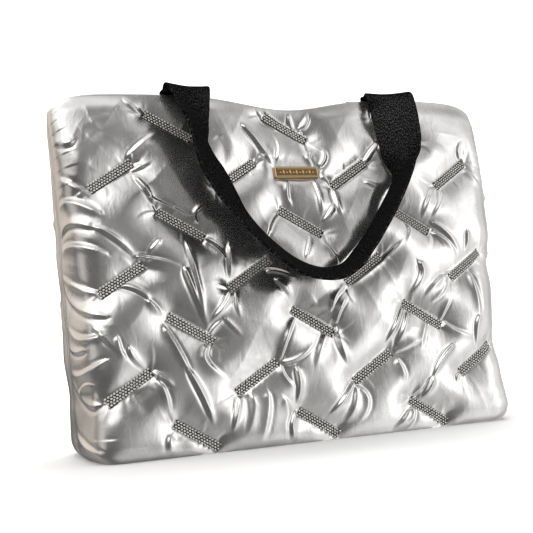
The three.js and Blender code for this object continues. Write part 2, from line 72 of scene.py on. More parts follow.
# Folds of the front, a row for each: its start, middle and end, across as a share of half the
# bag's width and up as a share of its height, then its half width and height in millimetres,
# which FOLD_WIDTH and FOLD_HEIGHT scale. A negative height is a valley. Columns: across, up,
# middle_across, middle_up, end_across, end_up, half_width, height.
FRONT_FOLDS = (
    (-0.75, 0.82, -0.69, 0.85, -0.61, 0.89, 4, 1.5),
    (-0.74, 0.78, -0.70, 0.79, -0.66, 0.80, 3, 1.5),
    (-0.73, 0.76, -0.69, 0.72, -0.66, 0.68, 3, 2.2),
    (-0.68, 0.70, -0.59, 0.67, -0.49, 0.63, 3, 1.6),
    (-0.49, 0.63, -0.49, 0.66, -0.40, 0.69, 2.6, 2.2),
    (-0.91, 0.80, -0.85, 0.80, -0.77, 0.80, 5.2, -0.7),
    (-0.90, 0.87, -0.85, 0.89, -0.75, 0.91, 10, -1),
    (-0.74, 0.99, -0.70, 0.96, -0.65, 0.94, 2.8, 1.6),
    (-0.91, 0.62, -0.84, 0.59, -0.76, 0.54, 3, 3),
    (-0.76, 0.54, -0.69, 0.53, -0.59, 0.51, 3.2, 3),
    (-0.66, 0.58, -0.69, 0.56, -0.70, 0.55, 2.6, 1.4),
    (-0.85, 0.47, -0.77, 0.45, -0.72, 0.42, 3, 3),
    (-0.73, 0.42, -0.70, 0.40, -0.68, 0.38, 3, 2.8),
    (-0.55, 0.57, -0.52, 0.47, -0.50, 0.37, 3, 2),
    (-0.57, 0.50, -0.54, 0.44, -0.48, 0.33, 3.6, 2.6),
    (-0.67, 0.35, -0.62, 0.28, -0.58, 0.22, 3.4, 3.2),
    (-0.59, 0.23, -0.53, 0.15, -0.49, 0.08, 3.2, 3.4),
    (-0.95, 0.36, -0.91, 0.33, -0.86, 0.29, 2.8, 2.6),
    (-0.86, 0.33, -0.85, 0.29, -0.83, 0.27, 3, 2),
    (-0.82, 0.30, -0.80, 0.27, -0.75, 0.24, 3, 2),
    (-0.73, 0.23, -0.69, 0.21, -0.65, 0.19, 3, 2.6),
    (-0.72, 0.22, -0.69, 0.18, -0.67, 0.12, 4, 2.2),
    (-0.81, 0.18, -0.78, 0.15, -0.75, 0.13, 8, -1.3),
    (-0.67, 0.06, -0.68, 0.04, -0.67, 0.01, 4.5, 1.6),
    (-0.49, 0.29, -0.51, 0.25, -0.43, 0.20, 4.6, 2.6),
    (-0.36, 0.45, -0.41, 0.40, -0.47, 0.36, 3, 3),
    (-0.35, 0.45, -0.36, 0.41, -0.35, 0.36, 2.6, 1.5),
    (-0.48, 0.32, -0.46, 0.34, -0.42, 0.36, 2.6, 2.2),
    (-0.42, 0.36, -0.39, 0.34, -0.35, 0.31, 2.6, 1.6),
    (-0.37, 0.56, -0.37, 0.51, -0.37, 0.47, 4, 2.6),
    (-0.47, 0.58, -0.43, 0.56, -0.38, 0.52, 3, 2),
    (-0.37, 0.15, -0.39, 0.11, -0.41, 0.06, 3, 3.2),
    (-0.32, 0.15, -0.32, 0.10, -0.35, 0.05, 5, 1.6),
    (-0.25, 0.15, -0.26, 0.09, -0.29, 0.02, 5, 1.6),
    (-0.18, 0.24, -0.15, 0.30, -0.10, 0.35, 3, 3),
    (-0.17, 0.23, -0.10, 0.24, -0.02, 0.28, 2.6, 2.6),
    (-0.18, 0.22, -0.17, 0.19, -0.13, 0.16, 2.8, 2),
    (-0.12, 0.21, -0.11, 0.16, -0.12, 0.11, 3.4, 2.6),
    (-0.12, 0.09, -0.15, 0.05, -0.13, 0.00, 3.6, 3),
    (-0.18, 0.13, -0.16, 0.08, -0.18, 0.03, 5, 1.5),
    (0.16, 0.16, 0.10, 0.12, 0.03, 0.07, 3, 3),
    (0.16, 0.15, 0.15, 0.10, 0.10, 0.04, 5, 2),
    (0.18, 0.14, 0.21, 0.10, 0.17, 0.05, 4.6, 2),
    (0.09, 0.32, 0.10, 0.26, 0.13, 0.21, 4, 2.2),
    (0.06, 0.31, 0.01, 0.27, -0.03, 0.21, 5, 2),
    (-0.21, 0.49, -0.15, 0.48, -0.09, 0.46, 3, 2.2),
    (-0.18, 0.46, -0.15, 0.44, -0.11, 0.41, 3, 2.2),
    (0.07, 0.37, 0.10, 0.41, 0.18, 0.44, 3, 3),
    (0.18, 0.44, 0.32, 0.49, 0.46, 0.56, 3, 2.6),
    (0.09, 0.33, 0.11, 0.37, 0.15, 0.40, 3, 2.6),
    (-0.00, 0.39, 0.04, 0.41, 0.08, 0.43, 8, -1),
    (-0.03, 0.52, -0.00, 0.56, 0.02, 0.59, 3, 1.3),
    (0.12, 0.50, 0.09, 0.54, 0.06, 0.58, 2.8, 1.2),
    (-0.23, 0.91, -0.17, 0.86, -0.11, 0.79, 3, 2.6),
    (-0.09, 0.81, -0.07, 0.85, -0.08, 0.89, 3, 1.6),
    (0.01, 0.95, 0.02, 0.91, 0.06, 0.91, 2.6, 2.4),
    (0.06, 0.91, 0.09, 0.93, 0.10, 0.96, 2.6, 2.4),
    (0.06, 0.90, 0.06, 0.86, 0.06, 0.83, 3, 2.6),
    (0.08, 0.79, 0.06, 0.82, 0.09, 0.84, 2.6, 2),
    (0.09, 0.78, 0.14, 0.81, 0.14, 0.84, 3.4, 2),
    (0.15, 0.73, 0.13, 0.75, 0.09, 0.76, 3, 2),
    (0.16, 0.72, 0.16, 0.68, 0.17, 0.64, 4, 2.6),
    (0.14, 0.67, 0.11, 0.64, 0.08, 0.62, 3, 2.2),
    (-0.06, 0.74, -0.07, 0.70, -0.05, 0.67, 3.6, 2),
    (0.07, 0.74, 0.08, 0.69, 0.08, 0.64, 3, 1.8),
    (-0.14, 0.96, -0.10, 0.93, -0.05, 0.90, 2.8, 2),
    (-0.35, 0.88, -0.33, 0.84, -0.34, 0.79, 8, -1),
    (-0.33, 0.74, -0.25, 0.78, -0.16, 0.81, 3, 2),
    (-0.20, 0.58, -0.16, 0.63, -0.10, 0.66, 4.6, 1.6),
    (0.34, 0.80, 0.39, 0.84, 0.45, 0.87, 3, 2.6),
    (0.32, 0.74, 0.37, 0.72, 0.42, 0.70, 2.8, 1.6),
    (0.66, 0.87, 0.73, 0.87, 0.81, 0.84, 10, -1),
    (0.88, 0.81, 0.86, 0.84, 0.89, 0.87, 3, 1.6),
    (0.69, 0.72, 0.64, 0.69, 0.59, 0.63, 4.4, 3),
    (0.72, 0.71, 0.69, 0.67, 0.64, 0.63, 3.6, 2.4),
    (0.88, 0.78, 0.91, 0.75, 0.94, 0.72, 4, 1.6),
    (0.49, 0.61, 0.51, 0.59, 0.47, 0.55, 4.6, 2),
    (0.63, 0.61, 0.69, 0.58, 0.76, 0.52, 3, 1.8),
    (0.63, 0.58, 0.69, 0.55, 0.74, 0.51, 3, 2),
    (0.52, 0.49, 0.53, 0.45, 0.47, 0.40, 4, 3),
    (0.67, 0.45, 0.61, 0.43, 0.54, 0.39, 4, 2.2),
    (0.67, 0.43, 0.63, 0.40, 0.57, 0.37, 3, 1.6),
    (0.71, 0.46, 0.68, 0.45, 0.64, 0.42, 3, 2.2),
    (0.81, 0.58, 0.81, 0.55, 0.80, 0.52, 3, 1.6),
    (0.80, 0.45, 0.81, 0.38, 0.81, 0.32, 4, 2.2),
    (0.81, 0.32, 0.79, 0.28, 0.80, 0.22, 3.6, 2),
    (0.62, 0.32, 0.64, 0.35, 0.67, 0.38, 3, 2.2),
    (0.63, 0.31, 0.68, 0.28, 0.77, 0.26, 3.8, 2.6),
    (0.43, 0.37, 0.38, 0.32, 0.32, 0.26, 3, 2.6),
    (0.45, 0.35, 0.41, 0.30, 0.37, 0.25, 4.6, 3),
    (0.55, 0.32, 0.51, 0.28, 0.49, 0.24, 4, 2),
    (0.66, 0.24, 0.59, 0.20, 0.54, 0.15, 3, 3.2),
    (0.54, 0.15, 0.52, 0.12, 0.49, 0.09, 3.6, 3.2),
    (0.37, 0.21, 0.39, 0.18, 0.40, 0.15, 4.4, 2),
    (0.36, 0.23, 0.43, 0.25, 0.51, 0.27, 4, 1.6),
    (0.72, 0.15, 0.68, 0.15, 0.67, 0.13, 3, 2.2),
    (0.44, 0.07, 0.43, 0.04, 0.37, 0.00, 3.8, 2.6),
    (0.42, 0.06, 0.36, 0.02, 0.32, -0.01, 4, 1.6),
    (0.43, 0.09, 0.46, 0.11, 0.50, 0.13, 3, 1.6),
    (-0.96, 0.86, -1.00, 0.855, -1.05, 0.87, 4.4, 1.6),
    (-0.94, 0.725, -1.00, 0.745, -1.06, 0.765, 4.6, 2.0),
    (-0.89, 0.66, -1.00, 0.695, -1.07, 0.68, 5.0, 2.4),
    (-0.92, 0.62, -1.02, 0.635, -1.09, 0.60, 4.4, 2.2),
    (-0.88, 0.55, -1.02, 0.575, -1.11, 0.55, 5.0, 2.4),
    (-0.92, 0.445, -1.02, 0.465, -1.13, 0.50, 4.4, 2.2),
    (-0.90, 0.385, -1.05, 0.42, -1.12, 0.475, 5.0, 2.6),
    (-0.92, 0.335, -1.03, 0.33, -1.12, 0.36, 4.6, 2.2),
    (-0.91, 0.27, -1.03, 0.235, -1.13, 0.24, 5.0, 2.4),
    (-0.96, 0.155, -1.04, 0.165, -1.14, 0.215, 4.6, 2.2),
    (-0.93, 0.03, -1.06, 0.05, -1.15, 0.08, 4.4, 1.8),
    (-0.98, 0.21, -1.05, 0.20, -1.10, 0.17, 3.6, 1.6),
    (-0.99, 0.30, -1.07, 0.295, -1.14, 0.31, 3.6, 1.6),
    (0.97, 0.70, 1.02, 0.68, 1.12, 0.70, 5.0, 1.4),
    (0.97, 0.52, 1.03, 0.50, 1.13, 0.54, 5.0, 1.4),
    (0.96, 0.30, 1.04, 0.28, 1.16, 0.32, 5.0, 1.4),
)

# Folds of the back, with the same columns.
BACK_FOLDS = (
    (-0.30, 0.80, -0.22, 0.70, -0.20, 0.60, 4, 2.6),
    (0.45, 0.86, 0.40, 0.76, 0.44, 0.64, 4, 2.4),
    (0.10, 0.42, 0.20, 0.34, 0.22, 0.24, 4, 2.6),
    (-0.62, 0.40, -0.52, 0.33, -0.46, 0.22, 4, 2.4),
    (0.72, 0.46, 0.66, 0.36, 0.70, 0.27, 4, 2.2),
    (-0.06, 0.94, -0.02, 0.88, -0.04, 0.82, 3, 2.0),
    (0.28, 0.20, 0.24, 0.12, 0.27, 0.02, 4, 2.2),
    (-0.34, 0.20, -0.30, 0.12, -0.33, 0.02, 4, 2.2),
    (-0.95, 0.66, -1.02, 0.64, -1.12, 0.67, 3.6, 2.4),
    (-0.95, 0.42, -1.03, 0.44, -1.14, 0.40, 3.6, 2.2),
    (0.95, 0.74, 1.01, 0.73, 1.12, 0.76, 3.6, 2.4),
    (0.95, 0.60, 1.02, 0.58, 1.12, 0.60, 3.6, 2.4),
    (0.95, 0.46, 1.02, 0.48, 1.14, 0.44, 3.6, 2.2),
    (0.95, 0.34, 1.03, 0.32, 1.15, 0.36, 3.6, 2.2),
    (0.95, 0.20, 1.02, 0.18, 1.14, 0.20, 3.6, 2.2),
)

# A handle from its left end to its right end, near the CAD model's but refined after the photo.
# Columns: across, a share of half the bag's width; up, of its height; off, its distance from the
# face as a share of the webbing's width; turn in degrees; drop of its front edge per width.
STRAP_PATH = np.array((
    (-0.466, 1.016, 0.08, 12, 0.00),
    (-0.467, 1.020, 0.22, 15, 0.00),
    (-0.468, 1.004, 0.34, 20, 0.00),
    (-0.468, 0.970, 0.38, 29, 0.00),
    (-0.468, 0.925, 0.41, 43, 0.00),
    (-0.469, 0.880, 0.48, 54, 0.00),
    (-0.456, 0.828, 0.48, 51, 0.00),
    (-0.428, 0.768, 0.50, 43, 0.00),
    (-0.388, 0.698, 0.54, 46, 0.06),
    (-0.338, 0.638, 0.56, 58, 0.18),
    (-0.240, 0.558, 0.57, 67, 0.30),
    (-0.105, 0.488, 0.57, 74, 0.36),
    (0.024, 0.468, 0.57, 82, 0.28),
    (0.124, 0.489, 0.57, 83, 0.14),
    (0.200, 0.535, 0.57, 84, 0.08),
    (0.286, 0.600, 0.57, 84, 0.04),
    (0.361, 0.664, 0.57, 84, 0.02),
    (0.422, 0.722, 0.58, 83, 0.00),
    (0.459, 0.764, 0.58, 85, 0.00),
    (0.471, 0.796, 0.57, 103, 0.00),
    (0.474, 0.828, 0.54, 117, 0.00),
    (0.485, 0.893, 0.48, 129, 0.00),
    (0.495, 0.957, 0.41, 142, 0.00),
    (0.499, 1.000, 0.36, 154, 0.00),
    (0.501, 1.014, 0.22, 162, 0.00),
    (0.501, 1.010, 0.08, 168, 0.00),
))


def length(name, words, mm):
    """A length property: its default is given in millimetres and kept in metres."""
    return FloatProperty(name=name, description=words, default=mm * MM, subtype="DISTANCE", unit="LENGTH")


def angle(name, words, degrees):
    """An angle property: its default is given in degrees and kept in radians."""
    return FloatProperty(name=name, description=words, default=np.radians(degrees), subtype="ANGLE")


class BodySizes(bpy.types.PropertyGroup):
    """Sizes of the bag's body"""
    height: length("Height", "Floor to the highest point of the rim", 331)
    width: length("Width", "Across the side seams low on the bag", 440)
    depth: length("Depth", "Front to back on the floor", 122)
    mouth_middle: length("Mouth, middle", "Front to back across the rim at mid-span", 36)
    mouth_end: length("Mouth, ends", "Front to back across the rim at the side seams", 18)
    wall: length("Wall", "Padded cloth", 9)
    rim_wall: length("Rim wall", "Cloth without padding at the rim", 3.2)
    rim_taper: length("Rim taper", "Height over which the padding ends", 44)
    belly: length("Belly", "Outward swell of each face at half height", 7)
    lean: FloatProperty(name="Lean", description="How late the faces lean together", default=2.1)
    corner: length("Corner", "Length over which a face turns into an end", 34)
    roll_height: length("Roll height", "Height of the roll along the floor", 12)
    roll_inset: length("Roll inset", "How far the roll draws in at the floor", 5)
    sag: length("Rim sag", "How far the rim sags between the handles", 13)
    sag_reach: length("Sag reach", "Half width of that sag", 62)
    droop: length("Corner droop", "How far the rim drops at its ends", 16)
    droop_reach: length("Droop reach", "Length of that drop", 14)
    base: length("Base", "Thickness of the padded base", 8)
    base_seat: length("Base seat", "Between the base and the panels round it", 0.4)
    gap: length("Gap", "Between neighbouring pieces", 0.3)


class QuiltSizes(bpy.types.PropertyGroup):
    """Stitched bars, padding and small folds"""
    bar_length: length("Bar length", "Length of a stitched bar", 48.5)
    bar_width: length("Bar width", "Width of a stitched bar", 9)
    bar_lean: angle("Bar lean", "Slope of a bar", 31.6)
    column_pitch: length("Column pitch", "Between columns of bars", 59.3)
    row_pitch: length("Row pitch", "Between bars in a column", 94.5)
    columns: IntProperty(name="Columns", description="Columns of bars", default=7)
    odd_rows: IntProperty(name="Odd rows", description="Bars in an odd column", default=3)
    even_rows: IntProperty(name="Even rows", description="Bars in an even column", default=4)
    shift: length("Shift", "Middle column from the middle of the bag", -4)
    lowest: length("Lowest", "Middle of the lowest bars above the floor", 17)
    pit: length("Pit", "How far a bar is drawn into the padding", 4.6)
    pit_reach: length("Pit reach", "How far the cloth takes to swell up beside a bar", 15)
    pit_power: FloatProperty(name="Pit power", description="How full the cloth swells", default=1.4)
    puff: length("Puff", "How far the padding pushes the cloth out between the bars", 2.5)
    slack: FloatProperty(name="Slack", description="Spare length of the cloth, as a share", default=0.03)
    crumple: length("Crumple", "Height of the slight crumples between the folds", 0.30)
    sway: length("Sway", "Height of the broad unevenness of the padding", 1.6)
    seed: IntProperty(name="Seed", description="Chooses the small gathers round the bars", default=7)
    stitch_rows: IntProperty(name="Stitch rows", description="Rows of stitches in a bar", default=4)
    stitch_pitch: length("Stitch pitch", "Between stitches in a row", 3.0)


class HandleSizes(bpy.types.PropertyGroup):
    """Sizes of the webbing handles"""
    width: length("Width", "Width of the webbing", 46)
    thickness: length("Thickness", "Thickness of the webbing", 2.4)
    root: length("Root", "Stretch sewn flat inside the rim", 34)
    rise: length("Rise", "How far the webbing stands straight past the rim", 4)
    seat: length("Seat", "Between the sewn stretch and the panel", 0.8)


class PlateSizes(bpy.types.PropertyGroup):
    """Size and place of the plate"""
    width: length("Width", "Width of the plate", 46)
    height: length("Height", "Height of the plate", 12)
    thickness: length("Thickness", "Thickness of the plate", 1.6)
    across: length("Across", "Its middle from the middle of the bag", -1)
    up: length("Up", "Its middle above the floor", 254.5)
    seat: length("Seat", "How far it presses into the padding", 2.2)
    seat_reach: length("Seat reach", "How far the cloth takes to rise round it", 9)


def colour(name, words, rgb):
    """A colour property, opaque."""
    return FloatVectorProperty(name=name, description=words, default=(*rgb, 1.0), size=4, subtype="COLOR")


class Finishes(bpy.types.PropertyGroup):
    """Colours of cloth, thread, webbing, plate and floor, with painted shade under the stitches and in the
    plate's recesses, and painted glints on the webbing
    """
    silver: colour("Silver", "Metallic coat of the cloth", (0.80, 0.79, 0.78))
    silver_deep: colour("Deep silver", "The coat where it is creased", (0.60, 0.59, 0.58))
    thread: colour("Thread", "Stitches of the bars", (0.97, 0.95, 0.91))
    # Painted shade: a near-black colour for the cloth under the stitched bars, standing in for the shade in
    # the gaps between the stitches.
    stitch_gap_painted_shade: colour("Holes", "Ground between the stitches", (0.045, 0.045, 0.042))
    webbing: colour("Webbing", "Black satin handles", (0.003, 0.003, 0.0031))
    # Painted glints: a lighter colour painted on specks of the webbing, standing in for single threads that
    # catch the light.
    webbing_painted_glint: colour("Webbing thread", "Single threads that catch the light", (0.085, 0.085, 0.087))
    gold: colour("Gold", "The plate", (0.70, 0.49, 0.26))
    # Painted shade: a darker gold painted in the plate's recesses, standing in for the shade that falls
    # there.
    gold_painted_recess_shade: colour("Deep gold", "The plate's recesses", (0.20, 0.125, 0.055))
    floor: colour("Floor", "Pale floor and backdrop", (0.93, 0.93, 0.93))


class StudioSettings(bpy.types.PropertyGroup):
    """The camera, fitted to the photograph"""
    azimuth: angle("Azimuth", "Camera round the bag", -23.0)
    elevation: angle("Elevation", "Camera's slope", -3.0)
    roll: angle("Roll", "Camera's turn about its view", -3.5)
    distance: length("Distance", "Camera to the point that it turns about", 1004.9)
    focal: FloatProperty(name="Focal length", description="In pixels of the photograph", default=1019.6)
    aim_x: length("Aim X", "Point that the camera turns about", -13.8)
    aim_z: length("Aim Z", "Point that the camera turns about", 175)
    shift_x: FloatProperty(name="Shift X", description="Picture's shift in pixels", default=8.0)
    shift_y: FloatProperty(name="Shift Y", description="Picture's shift in pixels", default=-8.2)


def in_mm(group):
    """The lengths of a property group in millimetres, other values as they are."""
    values = {}
    for name in group.bl_rna.properties.keys():
        prop = group.bl_rna.properties[name]
        if name in ("rna_type", "name"):
            continue
        value = getattr(group, name)
        values[name] = value / MM if getattr(prop, "unit", "") == "LENGTH" else value
    return type("Sizes", (), values)


def end_row(share):
    """The ends table at shares of the height, eased between its rows with 3t^2 - 2t^3."""
    share = np.clip(np.atleast_1d(share), 0.0, 1.0)
    low = np.clip(np.searchsorted(ENDS[:, 0], share, side="left") - 1, 0, len(ENDS) - 2)
    t = (share - ENDS[low, 0]) / (ENDS[low + 1, 0] - ENDS[low, 0])
    t = t * t * (3 - 2 * t)
    rows = ENDS[low] + (ENDS[low + 1] - ENDS[low]) * t[:, None]
    return dict(zip(END_COLUMNS, rows.T))


def centre_shift(b):
    """The bag's lengthwise shift, which puts the middle of its whole length over the origin."""
    return (ENDS[-1, 1] - ENDS[-1, 4]) * b.width / 4


def rim_height(b, x):
    """Height of the rim: the crest, less a bell-shaped sag, less a drop that fades from each end."""
    sag = b.sag * np.exp(-((x / b.sag_reach) ** 2))
    end = np.where(x < 0, ENDS[-1, 1], ENDS[-1, 4]) * b.width / 2
    droop = b.droop * np.exp(-np.maximum(end - np.abs(x), 0) / b.droop_reach)
    return b.height - sag - droop


def face_depth(b, x, share):
    """Half the depth: mouth + (base - mouth) (1 - share^lean) + belly sin(pi share) (1 - across^2)."""
    across = np.minimum(np.abs(x) / (b.width / 2), 1)
    mouth = (b.mouth_end + (b.mouth_middle - b.mouth_end) * (1 - across ** 2)) / 2
    lean = 1 - np.maximum(share, 0) ** b.lean
    swell = b.belly * np.sin(np.pi * np.clip(share, 0, 1)) * (1 - across ** 2)
    return mouth + (b.depth / 2 - mouth) * lean + swell


def along_line(points, count):
    """Points at equal steps of length along a polyline."""
    run = np.concatenate(([0], np.cumsum(np.linalg.norm(np.diff(points, axis=0), axis=1))))
    at = np.linspace(0, run[-1], count + 1)
    return np.stack([np.interp(at, run, points[:, k]) for k in range(points.shape[1])], axis=1)


def plan_section(b, share, columns):
    """Front half of a level section: ends as parabolas, the face between, corners averaged round."""
    row = {name: value[0] for name, value in end_row(share).items()}
    half = b.width / 2
    left, right = -row["corner_left"] * half, row["corner_right"] * half
    t = np.arange(25) / 25
    left_x = left + (left + row["seam_left"] * half) * (t * t - 1)
    left_end = np.stack((left_x, -t * face_depth(b, left, share)), 1)
    x = np.linspace(left, right, 151)
    face = np.stack((x, -face_depth(b, x, share)), 1)
    t = t[::-1]
    right_x = right + (row["seam_right"] * half - right) * (1 - t * t)
    right_end = np.stack((right_x, -t * face_depth(b, right, share)), 1)
    even = along_line(np.concatenate((left_end, face, right_end)), 300)
    step = np.linalg.norm(even[1] - even[0])
    reach = max(1, int(round(min(b.corner, face_depth(b, left, share)) / 2 / step)))
    turn = np.array((1, -1))
    wide = np.concatenate((even[reach:0:-1] * turn, even, even[-2:-reach - 2:-1] * turn))
    kernel = np.ones(2 * reach + 1) / (2 * reach + 1)
    smooth = np.stack([np.convolve(wide[:, k], kernel, mode="valid") for k in range(2)], 1)
    smooth[0, 1] = smooth[-1, 1] = 0
    return along_line(smooth, columns)


def body_surface(b, columns, rows):
    """Grid over the front half, (rows + 1, columns + 1, 3) in millimetres, floor to rim, and its
    outward normals: the cross product of the steps across and up."""
    roll = max(b.roll_height, b.base + 1) / b.height
    near = 1 - np.cos(np.linspace(0, np.pi / 2, 7))
    low = roll * near[:-1]
    shares = np.concatenate((low, np.linspace(roll, 1, rows + 1 - len(low))))
    grid = np.empty((rows + 1, columns + 1, 3))
    for r, share in enumerate(shares):
        plan = plan_section(b, share, columns)
        grid[r, :, :2] = plan
        grid[r, :, 2] = share * rim_height(b, plan[:, 0])
    normal = surface_normal(grid)
    normal[:, 0] = (-1, 0, 0)
    normal[:, -1] = (1, 0, 0)
    inset = b.roll_inset * np.maximum(1 - grid[..., 2] / b.roll_height, 0) ** 2
    flat = normal[..., :2] / np.linalg.norm(normal[..., :2], axis=-1, keepdims=True)
    grid[..., :2] -= flat * inset[..., None]
    return grid, normal


def surface_normal(grid):
    """Unit normals of a grid of points, to the right hand of across then up."""
    across = np.gradient(grid, axis=1)
    up = np.gradient(grid, axis=0)
    normal = np.cross(across, up)
    return normal / np.linalg.norm(normal, axis=-1, keepdims=True)


def bar_middles(q):
    """Middles and slopes of the stitched bars: odd columns lean up to the right, even ones down."""
    bars = []
    for column in range(q.columns):
        even = column % 2 == 1
        for row in range(q.even_rows if even else q.odd_rows):
            x = q.shift + (column - (q.columns - 1) / 2) * q.column_pitch
            z = q.lowest + (row + (0 if even else 0.5)) * q.row_pitch
            bars.append((x, z, -q.bar_lean if even else q.bar_lean))
    return np.array(bars)


def bar_frame(grid, bar):
    """Distances of grid points along and across a bar, in the face's own x and z."""
    x, z, lean = bar
    dx, dz = grid[..., 0] - x, grid[..., 2] - z
    along = dx * np.cos(lean) + dz * np.sin(lean)
    across = -dx * np.sin(lean) + dz * np.cos(lean)
    return along, across


def pit_field(q, grid):
    """Depth of the bars' pits: pit exp(-(distance / reach)^power), the deepest at each point."""
    depth = np.zeros(grid.shape[:2])
    pinned = np.zeros(grid.shape[:2], bool)
    half = (q.bar_length - q.bar_width) / 2
    for bar in bar_middles(q):
        along, across = bar_frame(grid, bar)
        past = np.maximum(np.abs(along) - half, 0)
        away = np.hypot(past, across)
        beside = np.maximum(away - q.bar_width / 4, 0) / q.pit_reach
        depth = np.maximum(depth, q.pit * np.exp(-(beside ** q.pit_power)))
        pinned |= (np.abs(along) <= q.bar_length / 2) & (np.abs(across) <= q.bar_width / 2)
    return depth, pinned


# Applied to the half widths and heights of every fold and gather.
FOLD_WIDTH = 0.50
FOLD_HEIGHT = 0.95

# Lengths over which pits, padding and folds fade: from the floor, the rim and the seams, in mm.
PIT_FADE = (3, 14, 14)
PUFF_FADE = (7, 14, 14)
FOLD_FADE = (6, 12, 3)

PLATE_MARGIN = 1.5                # mm past the plate over which it holds the cloth flat


def face_place(grid):
    """Where grid points lie on the face: length along the section from its middle, and height."""
    steps = np.linalg.norm(np.diff(grid[..., :2], axis=1), axis=-1)
    along = np.concatenate((np.zeros((len(grid), 1)), np.cumsum(steps, axis=1)), axis=1)
    middle = np.array([np.interp(0, row[:, 0], length) for row, length in zip(grid, along)])
    return along - middle[:, None], grid[..., 2]


def gathers(b, q, seed):
    """Short folds that run out from every bar: fans from its two ends and a few from its sides.
    The rows are like those of the fold tables."""
    rng = np.random.RandomState(seed)
    rows = []
    for x, z, lean in bar_middles(q):
        for end in (-1, 1):
            for spread in (-0.9, -0.1, 0.8):
                angle = lean + (np.pi if end < 0 else 0) + spread + rng.uniform(-0.25, 0.25)
                sx = x + end * np.cos(lean) * q.bar_length * 0.49
                sz = z + end * np.sin(lean) * q.bar_length * 0.49
                rows.append((sx, sz, angle, rng.uniform(9, 24), rng.uniform(2.4, 3.4), rng.uniform(0.1, 0.8)))
        for side in (-1, 1):
            for along in (-0.28, 0.02, 0.30):
                place = (along + rng.uniform(-0.06, 0.06)) * q.bar_length
                angle = lean + side * np.pi / 2 + rng.uniform(-0.5, 0.5)
                sx = x + np.cos(lean) * place - side * np.sin(lean) * q.bar_width * 0.5
                sz = z + np.sin(lean) * place + side * np.cos(lean) * q.bar_width * 0.5
                reach, width = rng.uniform(6, 16), rng.uniform(2.4, 3.4)
                rows.append((sx, sz, angle, reach, width, rng.uniform(-0.2, 0.4)))
    x, z, angle, reach, width, tall = np.array(rows).T
    bent = angle + rng.uniform(-0.5, 0.5, len(x))
    mx, mz = x + 0.5 * reach * np.cos(angle), z + 0.5 * reach * np.sin(angle)
    ex, ez = mx + 0.5 * reach * np.cos(bent), mz + 0.5 * reach * np.sin(bent)
    places = np.stack((x, z, mx, mz, ex, ez), 1) / np.array((b.width / 2, b.height) * 3)
    return np.concatenate((places, np.stack((width, tall), 1)), 1)


def fold_field(b, grid, folds):
    """Height of the folds. Each is a curve through three places, p = (1 - t)(1 - 2t) start
    + 4t(1 - t) middle + t(2t - 1) end. Across it the height is tall exp(-(d / w)^1.6), with w
    wider on its broad side, less tall / 3 exp(-((d - 2w) / w)^2) on its steep side. It narrows
    and fades out towards its ends."""
    x, z = face_place(grid)
    total = np.zeros(x.shape)
    size = np.array((b.width / 2, b.height))
    t = np.linspace(0, 1, 9)[:, None]
    for index, row in enumerate(folds):
        start, middle, end = (np.array(row[k:k + 2]) * size for k in (0, 2, 4))
        width, tall = row[6] * FOLD_WIDTH, row[7] * FOLD_HEIGHT
        curve = (1 - t) * (1 - 2 * t) * start + 4 * t * (1 - t) * middle + t * (2 * t - 1) * end
        low, high = curve.min(0) - 5 * width, curve.max(0) + 5 * width
        near = (x > low[0]) & (x < high[0]) & (z > low[1]) & (z < high[1])
        if not near.any():
            continue
        place = np.stack((x[near], z[near]), -1)[:, None]
        step = np.diff(curve, axis=0)
        share = np.clip(((place - curve[:-1]) * step).sum(-1) / (step * step).sum(-1), 0, 1)
        off = place - curve[:-1] - share[..., None] * step
        away = np.linalg.norm(off, axis=-1)
        pick = away.argmin(1)
        each = np.arange(len(pick))
        off, step, d = off[each, pick], step[pick], away[each, pick]
        side = (step[:, 0] * off[:, 1] - step[:, 1] * off[:, 0]) * (1 if index % 3 else -1)
        along = (pick + share[each, pick]) / (len(t) - 1)
        slim = width * (1 - 0.45 * (2 * along - 1) ** 4)
        fade = np.clip(1.05 - along ** 2.5, 0, 1) * np.clip(0.4 + along * 8, 0, 1)
        crest = np.exp(-((d / (slim * np.where(side > 0, 2.1, 0.9))) ** 1.6))
        crest -= np.where(side > 0, 0, 0.33) * np.exp(-(((d - 2 * slim) / slim) ** 2))
        total[near] += tall * fade * crest
    return total


def soft_noise(rng, x, z, cell_x, cell_z):
    """Smooth noise from 0 to 1: a lattice of random values, joined by t^3 (6t^2 - 15t + 10)."""
    u, v = x / cell_x, z / cell_z
    u, v = u - u.min(), v - v.min()
    i, j = u.astype(int), v.astype(int)
    u, v = u - i, v - j
    u, v = (t * t * t * (6 * t * t - 15 * t + 10) for t in (u, v))
    lattice = rng.rand(j.max() + 2, i.max() + 2)
    low = lattice[j, i] * (1 - u) + lattice[j, i + 1] * u
    high = lattice[j + 1, i] * (1 - u) + lattice[j + 1, i + 1] * u
    return low * (1 - v) + high * v


def crumple(grid, seed):
    """Slight crumples of the cloth between the bars, from 0 to 1: crests 1 - |2 noise - 1| of
    long noise along two slanting directions, bent by a wider noise, in patches."""
    rng = np.random.RandomState(seed)
    x, z = face_place(grid)
    x = x + 14 * soft_noise(rng, x, z, 45, 45)
    z = z + 14 * soft_noise(rng, x, z, 45, 45)
    total = np.zeros(x.shape)
    for turn, cell in ((0.5, 17), (-0.6, 21), (1.4, 13)):
        u, v = x * np.cos(turn) + z * np.sin(turn), z * np.cos(turn) - x * np.sin(turn)
        crest = 1 - np.abs(2 * soft_noise(rng, u, v, cell, 2.6 * cell) - 1)
        patch = np.clip(2.4 * soft_noise(rng, x, z, 48, 48) - 0.8, 0, 1)
        total += crest ** 1.6 * patch * cell / 17
    return total


def sway(grid, seed):
    """Broad unevenness of the padding, from -1 to 1: noise in two wide sizes."""
    rng = np.random.RandomState(seed + 1)
    x, z = face_place(grid)
    return 1.4 * soft_noise(rng, x, z, 64, 52) + 0.6 * soft_noise(rng, x, z, 34, 28) - 1


